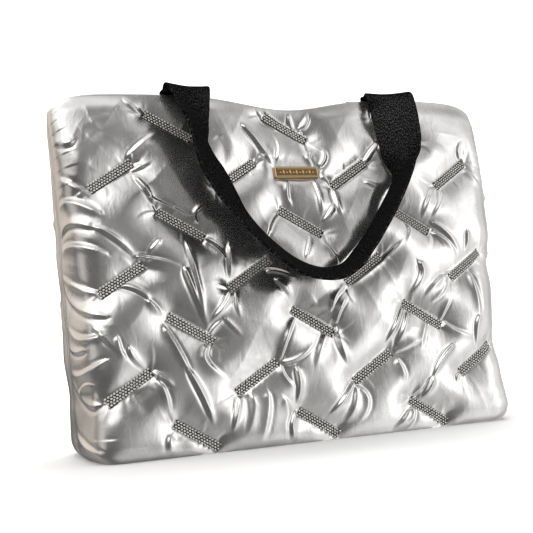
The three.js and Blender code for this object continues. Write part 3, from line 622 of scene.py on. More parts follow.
def edge_fade(grid, low, high, side):
    """1 over the cloth, easing to 0 at its four edges by t^2 (3 - 2t), over the given lengths
    from the floor, from the rim and from the two seams."""
    x, z = face_place(grid)
    top = grid[-1:, :, 2]
    ends = np.minimum(x - x[:, :1], x[:, -1:] - x)
    fade = np.ones(x.shape)
    for away, reach in ((z, low), (top - z, high), (ends, side)):
        t = np.clip(away / reach, 0, 1)
        fade *= t * t * (3 - 2 * t)
    return fade


def pull(x, first, second, rest, stretch, squeeze):
    """Moves pairs of points along their line until their distance is nearer its rest length. A
    pair that is too long is pulled together with the first share, one that is too short is
    pushed apart with the second."""
    step = x[second] - x[first]
    span = np.sqrt(np.einsum("ijk,ijk->ij", step, step)) + 1e-6
    over = span - rest
    step *= (0.5 * np.where(over > 0, stretch, squeeze) * over / span)[..., None]
    x[first] += step
    x[second] -= step


def cloth_rest(grid, slack):
    """Rest lengths of the cloth: those of the smooth surface, longer by the slack at each pair."""
    def rest(a, c):
        spare = 1 + 0.5 * (slack[a] + slack[c])
        return (np.linalg.norm(grid[c] - grid[a], axis=-1) * spare).astype(np.float32)
    every = slice(None)
    pairs = []
    for k in (0, 1):
        pairs.append(((every, slice(k, -1, 2)), (every, slice(k + 1, None, 2)), 1.0))
        pairs.append(((slice(k, -1, 2), every), (slice(k + 1, None, 2), every), 1.0))
        pairs.append(((slice(k, -1, 2), slice(0, -1)), (slice(k + 1, None, 2), slice(1, None)), 0.7))
        pairs.append(((slice(k, -1, 2), slice(1, None)), (slice(k + 1, None, 2), slice(0, -1)), 0.7))
    return [(a, c, rest(a, c), s) for a, c, s in pairs]


def round_sum(d):
    """Sum of the differences to the eight neighbours, diagonal ones at half weight, 0 at edges."""
    out = np.zeros_like(d)
    mid = d[1:-1, 1:-1]
    near = d[2:, 1:-1] + d[:-2, 1:-1] + d[1:-1, 2:] + d[1:-1, :-2]
    far = d[2:, 2:] + d[:-2, 2:] + d[2:, :-2] + d[:-2, :-2]
    out[1:-1, 1:-1] = near + 0.5 * far - 6 * mid
    return out


def settle(grid, normal, start, goal, pinned, slack, steps, squeeze, bend, press):
    """Lets the cloth come to rest. Each step moves every point on by its speed, the padding pushes
    it out while it is lower than the goal over the smooth surface, the cloth's lengths are
    restored, and its bends are evened out: move = -bend (sum over neighbours, taken twice).
    Pinned points stay where they start."""
    x = start.astype(np.float32)
    held = x[pinned].copy()
    out = normal.astype(np.float32)
    base = grid.astype(np.float32)
    goal = goal.astype(np.float32)
    pairs = cloth_rest(grid, slack)
    speed = np.zeros_like(x)
    for _ in range(steps):
        before = x.copy()
        x += 0.9 * speed
        height = np.einsum("ijk,ijk->ij", x - base, out)
        x += out * (press * np.clip(goal - height, -2, 2))[..., None]
        for a, c, rest, share in pairs:
            pull(x, a, c, rest, share, share * squeeze)
        x -= bend * round_sum(round_sum(x - base))
        x[pinned] = held
        speed = x - before
        limit = np.linalg.norm(speed, axis=-1, keepdims=True)
        speed *= np.minimum(1, 0.6 / np.maximum(limit, 1e-6))
    return x.astype(float)


def resized(field, rows, columns):
    """A grid of values brought to another size: each new value comes from four old ones each way,
    with the weights of a cubic B-spline, which also evens out small steps."""
    for axis, count in ((0, rows), (1, columns)):
        old = field.shape[axis]
        at = np.linspace(0, old - 1, count)
        low = np.minimum(at.astype(int), old - 2)
        t = at - low
        shares = ((1 - t) ** 3, 3 * t ** 3 - 6 * t ** 2 + 4, 1 + 3 * t + 3 * t ** 2 - 3 * t ** 3, t ** 3)
        shape = [1] * field.ndim
        shape[axis] = count
        total = 0
        for k, share in zip((-1, 0, 1, 2), shares):
            total = total + np.take(field, np.clip(low + k, 0, old - 1), axis) * (share / 6).reshape(shape)
        field = total
    return field


def new_mesh(name, points, faces, smooth=True):
    """A mesh object from points in millimetres and a face array with one width, or a list."""
    data = bpy.data.meshes.new(name)
    faces = faces if isinstance(faces, list) else faces.tolist()
    data.from_pydata((np.asarray(points) * MM).tolist(), [], faces)
    data.update()
    data.polygons.foreach_set("use_smooth", np.full(len(data.polygons), smooth))
    obj = bpy.data.objects.new(name, data)
    bpy.context.scene.collection.objects.link(obj)
    return obj


def grid_faces(rows, columns, wrap_rows=False, wrap_columns=False, start=0):
    """Quads between neighbours of a grid of points, closed on itself where wrapped."""
    r = np.arange(rows if wrap_rows else rows - 1)[:, None]
    c = np.arange(columns if wrap_columns else columns - 1)[None]
    r1, c1 = (r + 1) % rows, (c + 1) % columns
    quads = np.stack((r * columns + c, r * columns + c1, r1 * columns + c1, r1 * columns + c), -1)
    return quads.reshape(-1, 4) + start


def set_uv(obj, values):
    """A UV map named cloth from one pair of values per vertex."""
    data = obj.data
    loops = np.empty(len(data.loops), np.int32)
    data.loops.foreach_get("vertex_index", loops)
    layer = data.uv_layers.new(name="cloth")
    layer.data.foreach_set("uv", values[loops].astype(np.float32).ravel())


def set_mask(obj, name, values):
    """A named attribute with one value per vertex."""
    layer = obj.data.attributes.new(name=name, type="FLOAT", domain="POINT")
    layer.data.foreach_set("value", values.astype(np.float32).ravel())


def wall_thickness(b, z, top):
    """Thickness of a panel: full, and thinning to the rim's over the taper."""
    share = np.clip((top - z) / b.rim_taper, 0, 1)
    return b.rim_wall + (b.wall - b.rim_wall) * share


def plate_hold(p, grid):
    """Where the plate holds the cloth down, from 1 under it to 0 past its reach, and the points
    that it holds flat."""
    out_x = np.maximum(np.abs(grid[..., 0] - p.across) - p.width / 2, 0)
    out_z = np.maximum(np.abs(grid[..., 2] - p.up) - p.height / 2, 0)
    away = np.hypot(out_x, out_z)
    return np.exp(-((away / p.seat_reach) ** 2)), away <= PLATE_MARGIN


# Grids on which the cloth settles, coarse to fine. Columns: grid columns and rows, steps, how hard
# a short pair is pushed apart, bend, and the padding's push.
LEVELS = (
    (98, 61, 120, 1.0, 0.010, 0.05),
    (196, 122, 90, 0.8, 0.010, 0.03),
    (392, 244, 40, 0.5, 0.012, 0.012),
)


def settled_cloth(b, q, p, folds, with_plate, levels, fine_grid):
    """The outer face of a panel, settled first on a coarse grid and then on finer ones. Its folds
    and gathers then rise from it along the smooth surface's normal."""
    moved = None
    for columns, rows, steps, squeeze, bend, press in levels:
        grid, normal = body_surface(b, columns, rows)
        pit, sewn = pit_field(q, grid)
        if with_plate:
            hold, under = plate_hold(p, grid)
            sewn |= under
            pit = pit + (p.seat - pit) * hold
        fade = edge_fade(grid, *PUFF_FADE)
        fixed = grid - normal * (pit * edge_fade(grid, *PIT_FADE))[..., None]
        start = fixed if moved is None else grid + resized(moved, rows + 1, columns + 1)
        edge = np.zeros(grid.shape[:2], bool)
        edge[0] = edge[-1] = True
        edge[:, 0] = edge[:, -1] = True
        start[sewn] = fixed[sewn]
        start[edge] = grid[edge]
        near = pit / q.pit
        goal = (q.puff - pit * (1 + q.puff / q.pit)) * fade
        slack = (q.slack * (0.3 + near) * fade).astype(np.float32)
        placed = settle(grid, normal, start, goal, sewn | edge, slack, steps, squeeze, bend, press)
        moved = placed - grid
    grid, normal = body_surface(b, *fine_grid)
    placed = grid + resized(moved, *grid.shape[:2])
    for line in ((0,), (-1,), (slice(None), 0), (slice(None), -1)):
        placed[line] = grid[line]
    sewn = pit_field(q, grid)[1]
    if with_plate:
        sewn |= plate_hold(p, grid)[1]
    small = gathers(b, q, q.seed)
    tall = fold_field(b, grid, folds) + fold_field(b, grid, small)
    tall += q.crumple * (crumple(grid, q.seed) - 0.3) + q.sway * sway(grid, q.seed)
    free = np.where(sewn, 0.0, 1.0)
    for _ in range(3):
        free = free + round_sum(free) / 9
    free = np.clip(free, 0, 1) * ~sewn
    placed = placed + normal * (tall * free * edge_fade(grid, *FOLD_FADE))[..., None]
    placed += 0.04 * round_sum(placed) * free[..., None]
    placed[..., 2] = np.maximum(placed[..., 2], 0)
    return grid, normal, placed, sewn


def panel_object(name, b, q, p, folds, with_plate, side, levels, fine_grid):
    """A closed padded panel: settled outer face, a rolled lip along the rim, and a plain inside."""
    grid, normal, outer, sewn = settled_cloth(b, q, p, folds, with_plate, levels, fine_grid)
    columns = grid.shape[1]
    plan = normal.copy()
    plan[..., 2] = 0
    plan /= np.linalg.norm(plan, axis=-1, keepdims=True)
    top = grid[-1, :, 2]
    rim, rim_out = outer[-1], plan[-1]
    turns = np.linspace(0, np.pi, 7)[1:-1]
    radius = b.rim_wall / 2
    rise = np.array((0, 0, radius))
    lip = np.stack([rim + rim_out * radius * (np.cos(a) - 1) + rise * np.sin(a) for a in turns])
    picks = np.linspace(len(grid) - 1, 0, 14).astype(int)
    thick = wall_thickness(b, grid[picks][..., 2], top[None])
    inner = grid[picks] - plan[picks] * thick[..., None]
    inner[-1, :, 2] = 0
    points = np.concatenate((outer, lip, inner))
    points[..., 1] = np.minimum(points[..., 1], -b.gap / 2)
    rows = len(points)
    faces = grid_faces(rows, columns, wrap_rows=True).tolist()
    ring = np.arange(rows) * columns
    faces.append(ring.tolist())
    faces.append((ring + columns - 1)[::-1].tolist())
    steps = np.linalg.norm(np.diff(points, axis=1), axis=-1)
    away = np.concatenate((np.zeros((rows, 1)), np.cumsum(steps, 1)), 1)
    uv = np.stack((away - away.mean(), points[..., 2]), -1) * MM
    # Mask of the cloth under the stitched bars, less the plate's; the cloth's material paints painted shade
    # there.
    mask = np.zeros((rows, columns))
    mask[:len(outer)] = sewn
    if with_plate:
        mask[:len(outer)] *= ~plate_hold(p, grid)[1]
    points = points.reshape(-1, 3)
    points[:, 0] += centre_shift(b)
    if side > 0:
        points[:, 1] *= -1
        faces = [face[::-1] for face in faces]
    obj = new_mesh(name, points, faces)
    set_uv(obj, uv.reshape(-1, 2))
    set_mask(obj, "bar", mask)
    return obj, grid, outer


def bar_stitches(name, b, q, outer, side, fine):
    """Rows of small raised grains over each bar. The cloth under a bar is taken as the curved
    plane y = sum of c a^i t^j up to the second power, with a along and t across the bar, and
    each grain's own height is put right by the cloth's points next to it."""
    ring = 6 if fine else 4
    turn = np.arange(ring) * 2 * np.pi / ring
    levels = np.array((-0.72, 0.0, 0.72)) if fine else np.array((0.0,))
    size = np.array((q.stitch_pitch * 0.42, 0.5 * q.bar_width / q.stitch_rows * 0.86, 0.42))
    body = []
    for s in levels:
        wide = np.sqrt(1 - s * s)
        body.append(np.stack((np.full(ring, s), wide * np.cos(turn), wide * np.sin(turn)), 1))
    grain = np.concatenate([[(-1, 0, 0)]] + body + [[(1, 0, 0)]]) * size
    faces = []
    last = len(grain) - 1
    for k in range(ring):
        n = (k + 1) % ring
        faces.append((0, 1 + n, 1 + k))
        for level in range(len(levels) - 1):
            a, c = 1 + level * ring, 1 + (level + 1) * ring
            faces.append((a + k, a + n, c + n))
            faces.append((a + k, c + n, c + k))
        faces.append((last, last - ring + k, last - ring + n))
    faces = np.array(faces)
    rng = np.random.default_rng(7)
    all_points, all_faces, count = [], [], 0
    per_row = int(q.bar_length / q.stitch_pitch)
    for bar in bar_middles(q):
        along, across = bar_frame(outer, bar)
        near = (np.abs(along) < q.bar_length / 2) & (np.abs(across) < q.bar_width / 2) & (outer[..., 1] < -2)
        a, t = along[near], across[near]
        terms = np.stack((np.ones_like(a), a, t, a * a, a * t, t * t), 1)
        fit = np.linalg.lstsq(terms, outer[near][:, 1], rcond=None)[0]
        row, place = np.meshgrid(np.arange(q.stitch_rows), np.arange(per_row), indexing="ij")
        sa = (place - (per_row - 1) / 2 + 0.5 * (row % 2) - 0.25) * q.stitch_pitch
        st = (row - (q.stitch_rows - 1) / 2) * q.bar_width / q.stitch_rows
        sa, st = sa.ravel(), st.ravel()
        sa = sa + rng.normal(0, 0.10, sa.shape)
        st = st + rng.normal(0, 0.06, st.shape)
        y = np.stack((np.ones_like(sa), sa, st, sa * sa, sa * st, st * st), 1) @ fit
        weight = np.exp(-((sa[:, None] - a) ** 2 + (st[:, None] - t) ** 2) / 1.5 ** 2)
        y += weight @ (outer[near][:, 1] - terms @ fit) / (weight.sum(1) + 1e-9)
        lean = bar[2]
        right = np.array((np.cos(lean), 0, np.sin(lean)))
        up = np.array((-np.sin(lean), 0, np.cos(lean)))
        slope_a = fit[1] + 2 * fit[3] * sa + fit[4] * st
        slope_t = fit[2] + 2 * fit[5] * st + fit[4] * sa
        twist = rng.normal(0, 0.16, sa.shape) + 0.35 * (2 * (np.arange(len(sa)) // per_row % 2) - 1)
        cos, sin = np.cos(twist)[:, None, None], np.sin(twist)[:, None, None]
        u = cos * grain[None, :, 0:1] - sin * grain[None, :, 1:2]
        v = sin * grain[None, :, 0:1] + cos * grain[None, :, 1:2]
        middle = np.array((bar[0], 0, bar[1])) + sa[:, None] * right + st[:, None] * up
        points = middle[:, None] + u * right + v * up
        points[..., 1] = (y - 0.25)[:, None] + u[..., 0] * slope_a[:, None] + v[..., 0] * slope_t[:, None]
        points[..., 1] -= grain[None, :, 2] * 0.9
        all_points.append(points.reshape(-1, 3))
        step = np.arange(len(sa))[:, None, None] * len(grain)
        all_faces.append((faces[None] + step + count).reshape(-1, 3))
        count += len(sa) * len(grain)
    points = np.concatenate(all_points)
    points[:, 0] += centre_shift(b)
    points[:, 2] = np.maximum(points[:, 2], b.gap)
    tris = np.concatenate(all_faces)
    if side > 0:
        points[:, 1] *= -1
        tris = tris[:, ::-1]
    return new_mesh(name, points, tris)


def smooth_curve(points, steps):
    """Centripetal Catmull-Rom through the points: each cubic's tangents come from its neighbours,
    with knots spaced by the square root of distance. Returns places and the knot share at each."""
    first = 2 * points[0] - points[1]
    last = 2 * points[-1] - points[-2]
    p = np.concatenate(([first], points, [last]))
    knots = np.concatenate(([0], np.cumsum(np.sqrt(np.linalg.norm(np.diff(p[:, :3], axis=0), axis=1)))))
    at = np.linspace(1, len(p) - 2, (len(p) - 3) * steps + 1)
    k = np.minimum(at.astype(int), len(p) - 3)
    t = (knots[k] + (knots[k + 1] - knots[k]) * (at - k))[:, None]
    t0, t1, t2, t3 = (knots[k + i][:, None] for i in (-1, 0, 1, 2))
    p0, p1, p2, p3 = (p[k + i] for i in (-1, 0, 1, 2))
    a1 = (t1 - t) / (t1 - t0) * p0 + (t - t0) / (t1 - t0) * p1
    a2 = (t2 - t) / (t2 - t1) * p1 + (t - t1) / (t2 - t1) * p2
    a3 = (t3 - t) / (t3 - t2) * p2 + (t - t2) / (t3 - t2) * p3
    b1 = (t2 - t) / (t2 - t0) * a1 + (t - t0) / (t2 - t0) * a2
    b2 = (t3 - t) / (t3 - t1) * a2 + (t - t1) / (t3 - t1) * a3
    return (t2 - t) / (t2 - t1) * b1 + (t - t1) / (t2 - t1) * b2


def strap_centre(b, h):
    """Centre line of a handle, its turn in degrees and the drop of its front edge per width: sewn
    inside the rim, over it, and down."""
    half = b.width / 2
    x = STRAP_PATH[:, 0] * half
    z = STRAP_PATH[:, 1] * b.height
    y = -face_depth(b, x, z / rim_height(b, x)) - STRAP_PATH[:, 2] * h.width
    hanging = np.stack((x, y, z, STRAP_PATH[:, 3], STRAP_PATH[:, 4]), 1)

    def root(row, turn):
        x = row[0] * half
        top = rim_height(b, x)
        z = top - np.array((h.root, h.root / 2, 0, -h.rise))
        share = np.minimum(z / top, 1)
        inside = face_depth(b, x, share) - wall_thickness(b, z, top) - h.seat - h.thickness / 2
        rise = face_depth(b, x - h.width / 2, share) - face_depth(b, x + h.width / 2, share)
        lie = turn + np.degrees(np.arctan2(rise, h.width))
        return np.stack((np.full(4, x), -inside, z, lie, np.zeros(4)), 1)

    return np.concatenate((root(STRAP_PATH[0], 0), hanging, root(STRAP_PATH[-1], 180)[::-1]))


def strap_object(name, b, h, side):
    """Webbing: a flat section with rounded edges carried along the centre line, its width turned."""
    line = smooth_curve(strap_centre(b, h), 12)
    even = np.array((1, 1, 1, 0.2, 10))
    line = along_line(line * even, 320) / even
    centre, turn, drop = line[:, :3], np.radians(line[:, 3]), line[:, 4]
    tangent = np.gradient(centre, axis=0)
    tangent /= np.linalg.norm(tangent, axis=1, keepdims=True)
    across = np.stack((-np.cos(turn), -np.sin(turn), -drop), 1)
    across -= tangent * np.einsum("ij,ij->i", across, tangent)[:, None]
    across /= np.linalg.norm(across, axis=1, keepdims=True)
    normal = np.cross(tangent, across)
    w, t = h.width / 2, h.thickness / 2
    flat = np.linspace(-1, 1, 25)
    edge = np.linspace(-np.pi / 2, np.pi / 2, 7)[1:-1]
    section = np.concatenate((
        np.stack((flat * (w - t), np.full(25, -t)), 1),
        np.stack((w - t + t * np.cos(edge), t * np.sin(edge)), 1),
        np.stack((-flat * (w - t), np.full(25, t)), 1),
        np.stack((-w + t - t * np.cos(edge), -t * np.sin(edge)), 1)))
    points = centre[:, None] + across[:, None] * section[None, :, :1] + normal[:, None] * section[None, :, 1:]
    rows, columns = points.shape[:2]
    faces = grid_faces(rows, columns, wrap_columns=True).tolist()
    faces.append(list(range(columns))[::-1])
    faces.append(list(range((rows - 1) * columns, rows * columns)))
    run = np.concatenate(([0], np.cumsum(np.linalg.norm(np.diff(centre, axis=0), axis=1))))
    uv = np.stack(np.broadcast_arrays(section[None, :, 0], run[:, None]), -1) * MM
    points = points.reshape(-1, 3)
    points[:, 0] += centre_shift(b)
    if side > 0:
        points[:, 1] *= -1
        faces = [face[::-1] for face in faces]
    obj = new_mesh(name, points, faces)
    set_uv(obj, uv.reshape(-1, 2))
    return obj


def plate_object(name, b, p):
    """The plate: front height = border ridge + a row of lozenges and dots, back flat. Its lower
    edge is scalloped: edge = scallop |sin|. It lies on the leaning face, sunk in by its seat."""
    columns, rows = 232, 60
    u = np.linspace(-1, 1, columns)[None] * np.ones((rows, 1))
    v = np.linspace(-1, 1, rows)[:, None] * np.ones((1, columns))
    w, h = p.width / 2, p.height / 2
    corner = 1.5
    x, z = u * w, v * h
    over_x = np.maximum(np.abs(x) - (w - corner), 0)
    over_z = np.maximum(np.abs(z) - (h - corner), 0)
    pull_in = np.minimum(1, corner / np.maximum(np.hypot(over_x, over_z), 1e-6))
    inside = (over_x > 0) & (over_z > 0)
    x = np.where(inside, np.sign(x) * (w - corner + over_x * pull_in), x)
    z = np.where(inside, np.sign(z) * (h - corner + over_z * pull_in), z)
    scallop = 0.45 * np.abs(np.sin(x / w * np.pi * 9)) * np.clip(-v * 4 - 3, 0, 1)
    z = z - scallop + 0.45 * np.clip(-v * 4 - 3, 0, 1)
    edge = np.minimum(w - np.abs(x), h - np.abs(z))
    ridge = 0.35 * np.exp(-(((edge - 0.9) / 0.45) ** 2))
    cell = (x / 3.4 + 0.5) % 1 - 0.5
    odd = np.floor(x / 3.4 + 0.5) % 2
    lozenge = 0.30 * np.clip(1.6 - np.abs(cell * 3.4) * 1.3 - np.abs(z) * 0.62, 0, 0.5) * 2
    dot = 0.28 * np.clip(1 - np.hypot(cell * 3.4, z) / 0.9, 0, 1) ** 0.5
    motif = np.where(odd > 0, dot, lozenge) * (np.abs(x) < w - 3.2)
    line = 0.18 * np.exp(-(((np.abs(z) - h * 0.58) / 0.28) ** 2)) * (np.abs(x) < w - 2.2)
    bead = 0.22 * np.exp(-((np.minimum(edge, 0.6) - 0.6) / 0.25) ** 2)
    height = p.thickness - 0.5 + bead + ridge + motif + line
    top = rim_height(b, p.across)
    low = face_depth(b, p.across, (p.up - h) / top)
    high = face_depth(b, p.across, (p.up + h) / top)
    lean = np.arctan2(low - high, 2 * h)
    back = (low + high) / 2 - p.seat + b.gap

    def placed(x, z, off):
        cos, sin = np.cos(lean), np.sin(lean)
        return np.stack((x + p.across, -back + z * sin - off * cos, p.up + z * cos + off * sin), -1)

    points = np.stack((placed(x, z, height), placed(x, z, 0 * x)))
    points[..., 0] += centre_shift(b)
    count = rows * columns
    front = grid_faces(rows, columns)
    behind = grid_faces(rows, columns, start=count)[:, ::-1]
    index = np.arange(count).reshape(rows, columns)
    loop = np.concatenate((index[0, :-1], index[:-1, -1], index[-1, :0:-1], index[:0:-1, 0]))
    after = np.roll(loop, -1)
    sides = np.stack((loop, loop + count, after + count, after), 1)
    obj = new_mesh(name, points.reshape(-1, 3), np.concatenate((front, behind, sides)))
    # Mask of the raised relief; the plate's material paints painted shade in the recesses, where it is low.
    raised = np.clip((ridge + motif + line + bead - 0.24) / 0.16, 0, 1)
    set_mask(obj, "raised", np.stack((raised, np.ones_like(raised))))
    return obj


def base_object(name, b):
    """The padded base: rings drawn in from the inside of the panels, a rounded edge, a slightly
    crowned top and a flat underside."""
    def half(columns):
        plan = plan_section(b, 0.0, columns)
        across = np.gradient(plan, axis=0)
        across /= np.linalg.norm(across, axis=1, keepdims=True)
        out = np.stack((across[:, 1], -across[:, 0]), 1)
        return (plan - out * (b.roll_inset + b.wall + b.base_seat))[1:-1]
    front = half(120)
    outline = np.concatenate((front, (front * np.array((1, -1)))[::-1]))
    radius = b.base / 2
    centre = outline.mean(0)
    step = outline - centre
    size = np.linalg.norm(step, axis=1, keepdims=True)
    flat = step * (1 - radius / size)
    shares = (0.05, 0.25, 0.5, 0.75, 0.9)

    def ring(plan, up):
        return np.concatenate((centre + plan, np.full((len(outline), 1), up)), 1)

    rings = [ring(flat * share, 0.0) for share in shares]
    for turn in np.linspace(-np.pi / 2, np.pi / 2, 9):
        rings.append(ring(step * (1 - radius * (1 - np.cos(turn)) / size), radius + radius * np.sin(turn)))
    rings += [ring(flat * share, b.base + 0.8 * (1 - share)) for share in shares[::-1]]
    points = np.concatenate(rings)
    rows, columns = len(rings), len(outline)
    low = [np.concatenate((centre, (0,)))]
    high = [np.concatenate((centre, (b.base + 0.8,)))]
    points = np.concatenate((points, low, high))
    points[:, 0] += centre_shift(b)
    faces = grid_faces(rows, columns, wrap_columns=True).tolist()
    c = np.arange(columns)
    n = (c + 1) % columns
    faces += np.stack((np.full(columns, rows * columns), n, c), 1).tolist()
    last = (rows - 1) * columns
    faces += np.stack((np.full(columns, rows * columns + 1), c + last, n + last), 1).tolist()
    return new_mesh(name, points, faces)


class Tree:
    """A short hand for a node tree: makes nodes and links them."""

    def __init__(self, tree):
        self.tree = tree

    def node(self, kind, inputs=None, **settings):
        node = self.tree.nodes.new(kind)
        for key, value in settings.items():
            setattr(node, key, value)
        for key, value in (inputs or {}).items():
            self.feed(node, key, value)
        return node

    def feed(self, node, key, value):
        if isinstance(value, bpy.types.NodeSocket):
            self.tree.links.new(value, node.inputs[key])
        else:
            node.inputs[key].default_value = value

    def math(self, operation, a, b=0.0, clamp=False):
        return self.node("ShaderNodeMath", {0: a, 1: b}, operation=operation, use_clamp=clamp).outputs[0]

    def noise(self, vector, scale, detail, **more):
        inputs = {"Vector": vector, "Scale": scale, "Detail": detail}
        inputs.update({key.capitalize(): value for key, value in more.items()})
        return self.node("ShaderNodeTexNoise", inputs).outputs[0]

    def stretched(self, vector, **inputs):
        settings = {key.capitalize(): value for key, value in inputs.items()}
        return self.node("ShaderNodeMapping", {"Vector": vector, **settings}).outputs[0]

    def bump(self, shader, height, distance, strength):
        inputs = {"Height": height, "Distance": distance, "Strength": strength}
        self.feed(shader, "Normal", self.node("ShaderNodeBump", inputs).outputs[0])

    def vector(self, operation, inputs):
        return self.node("ShaderNodeVectorMath", inputs, operation=operation).outputs[0]

    def mix(self, factor, a, b):
        return self.node("ShaderNodeMix", {0: factor, 6: a, 7: b}, data_type="RGBA").outputs[2]

    def ramp(self, value, low, high, out_low=0.0, out_high=1.0):
        inputs = {"Value": value, "From Min": low, "From Max": high, "To Min": out_low, "To Max": out_high}
        return self.node("ShaderNodeMapRange", inputs).outputs[0]


def new_group(name, inputs, outputs):
    """An empty shader node group with named sockets, its tree and its two end nodes."""
    tree = bpy.data.node_groups.new(name, "ShaderNodeTree")
    for label, kind, default in inputs:
        socket = tree.interface.new_socket(name=label, in_out="INPUT", socket_type=kind)
        if default is not None:
            socket.default_value = default
    for label, kind in outputs:
        tree.interface.new_socket(name=label, in_out="OUTPUT", socket_type=kind)
    build = Tree(tree)
    return tree, build, build.node("NodeGroupInput"), build.node("NodeGroupOutput")


def crinkle_group():
    """Fine crinkles of a coated cloth: two sizes of stretched noise, as a height and a mask."""
    name = "cloth_crinkle"
    if name in bpy.data.node_groups:
        return bpy.data.node_groups[name]
    inputs = (("Vector", "NodeSocketVector", None), ("Scale", "NodeSocketFloat", 90.0))
    outputs = (("Height", "NodeSocketFloat"), ("Mask", "NodeSocketFloat"))
    tree, build, start, end = new_group(name, inputs, outputs)
    place, scale = start.outputs[0], start.outputs[1]
    large = build.noise(place, scale, 5.0, roughness=0.55, distortion=0.6)
    fine = build.noise(place, build.math("MULTIPLY", scale, 7.0), 3.0, roughness=0.6)
    sharp = build.math("ABSOLUTE", build.math("SUBTRACT", large, 0.5))
    crest = build.math("SUBTRACT", 1.0, build.math("MULTIPLY", sharp, 5.0, clamp=True))
    height = build.math("ADD", build.math("MULTIPLY", crest, 0.5), build.math("MULTIPLY", fine, 0.16))
    build.feed(end, 0, height)
    build.feed(end, 1, fine)
    return tree


def new_material(name):
    """A material with its short hand and its shader."""
    material = bpy.data.materials.new(name)
    material.use_nodes = True
    build = Tree(material.node_tree)
    shader = material.node_tree.nodes["Principled BSDF"]
    return material, build, shader


def silver_material(name, with_bars):
    """Metal-coated cloth: mirror-like but satin, its tone and gloss uneven, with fine crinkles. With bars,
    the cloth under them is painted near-black as painted shade between the stitches, and made rougher.
    """
    finish = bpy.context.scene.bag_finish
    material, build, shader = new_material(name)
    coords = build.node("ShaderNodeTexCoord")
    drawn = build.stretched(coords.outputs["Object"], scale=(1.0, 1.0, 0.4))
    crinkle = build.node("ShaderNodeGroup", {"Vector": drawn, "Scale": 80.0}, node_tree=crinkle_group())
    blotch = build.noise(coords.outputs["Object"], 22.0, 4.0)
    tone = build.mix(build.ramp(blotch, 0.35, 0.7), finish.silver_deep, finish.silver)
    rough = build.ramp(blotch, 0.3, 0.7, 0.22, 0.29)
    if with_bars:
        bar = build.node("ShaderNodeAttribute", attribute_name="bar").outputs["Fac"]
        # Painted shade: under the bars the cloth takes the near-black stitch-gap colour, and more roughness.
        tone = build.mix(bar, tone, finish.stitch_gap_painted_shade)
        rough = build.math("ADD", rough, build.math("MULTIPLY", bar, 0.4))
    build.feed(shader, "Base Color", tone)
    build.feed(shader, "Roughness", rough)
    shader.inputs["Metallic"].default_value = 0.96
    build.bump(shader, crinkle.outputs[0], 0.00025, 0.5)
    return material


def thread_material():
    """Shiny thread of the stitches, its tone uneven."""
    finish = bpy.context.scene.bag_finish
    material, build, shader = new_material("bar_thread")
    coords = build.node("ShaderNodeTexCoord")
    noise = build.noise(coords.outputs["Object"], 900.0, 2.0)
    shade = tuple(0.55 * c for c in finish.thread[:3]) + (1,)
    tone = build.mix(build.ramp(noise, 0.3, 0.7), shade, finish.thread)
    build.feed(shader, "Base Color", tone)
    shader.inputs["Roughness"].default_value = 0.38
    shader.inputs["Metallic"].default_value = 0.6
    build.bump(shader, noise, 0.0003, 0.6)
    return material


def webbing_material():
    """Black webbing: slanting specks of thread, painted lighter one by one as painted glints, with less
    roughness.
    """
    finish = bpy.context.scene.bag_finish
    material, build, shader = new_material("strap_webbing")
    uv = build.node("ShaderNodeUVMap", uv_map="cloth").outputs[0]
    twill = build.stretched(uv, rotation=(0, 0, np.radians(32)), scale=(1.0, 0.4, 1.0))
    thread = build.noise(twill, 1300.0, 1.5, roughness=0.7)
    # Painted glints: the specks are painted in the lighter glint colour.
    painted_glint_share = build.ramp(thread, 0.50, 0.70)
    build.feed(shader, "Base Color", build.mix(painted_glint_share, finish.webbing, finish.webbing_painted_glint))
    build.feed(shader, "Roughness", build.ramp(thread, 0.35, 0.65, 0.55, 0.34))
    shader.inputs["Metallic"].default_value = 0.6
    shader.inputs["Specular IOR Level"].default_value = 0.0
    shader.inputs["Specular Tint"].default_value = (0.12, 0.12, 0.12, 1.0)
    build.bump(shader, thread, 0.00012, 0.7)
    return material


def gold_material():
    """Brushed plate: gold where it is raised, and painted darker in its recesses as painted shade."""
    finish = bpy.context.scene.bag_finish
    material, build, shader = new_material("plate_metal")
    coords = build.node("ShaderNodeTexCoord")
    brush = build.noise(build.stretched(coords.outputs["Object"], scale=(60.0, 900.0, 900.0)), 1.0, 3.0)
    raised = build.node("ShaderNodeAttribute", attribute_name="raised").outputs["Fac"]
    # Painted shade: the recesses take the darker gold.
    tone = build.mix(raised, finish.gold_painted_recess_shade, finish.gold)
    build.feed(shader, "Base Color", tone)
    build.feed(shader, "Roughness", build.ramp(brush, 0.3, 0.7, 0.28, 0.42))
    shader.inputs["Metallic"].default_value = 1.0
    build.bump(shader, brush, 0.0001, 0.4)
    return material


def dress(obj, material, node=None):
    """Gives a piece its material and slot, hides the solid that it replaces, if any, and hangs the piece
    under the root.
    """
    obj.data.materials.append(material)
    if node:
        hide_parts(node)
    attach(obj, "root")


def levels_now():
    return LEVELS


def fold_grid(front):
    """Columns and rows of the grid on which the folds are raised."""
    return (560, 348) if front else (336, 210)


def all_sizes(context):
    """Sizes of body, quilting, plate and handles in millimetres."""
    scene = context.scene
    return in_mm(scene.bag_body), in_mm(scene.bag_quilt), in_mm(scene.bag_plate), in_mm(scene.bag_handles)


class BAG_OT_front_panel(bpy.types.Operator):
    """Builds the quilted front with its stitched bars"""
    bl_idname = "bag.front_panel"
    bl_label = "Front panel"

    def execute(self, context):
        b, q, p, _ = all_sizes(context)
        levels = levels_now()
        obj, _, outer = panel_object("front_cloth", b, q, p, FRONT_FOLDS, True, -1, levels, fold_grid(True))
        dress(obj, silver_material("quilted_cloth_front", True), "front_panel")
        bars = bar_stitches("front_bar_stitches", b, q, outer, -1, True)
        dress(bars, thread_material())
        return {"FINISHED"}


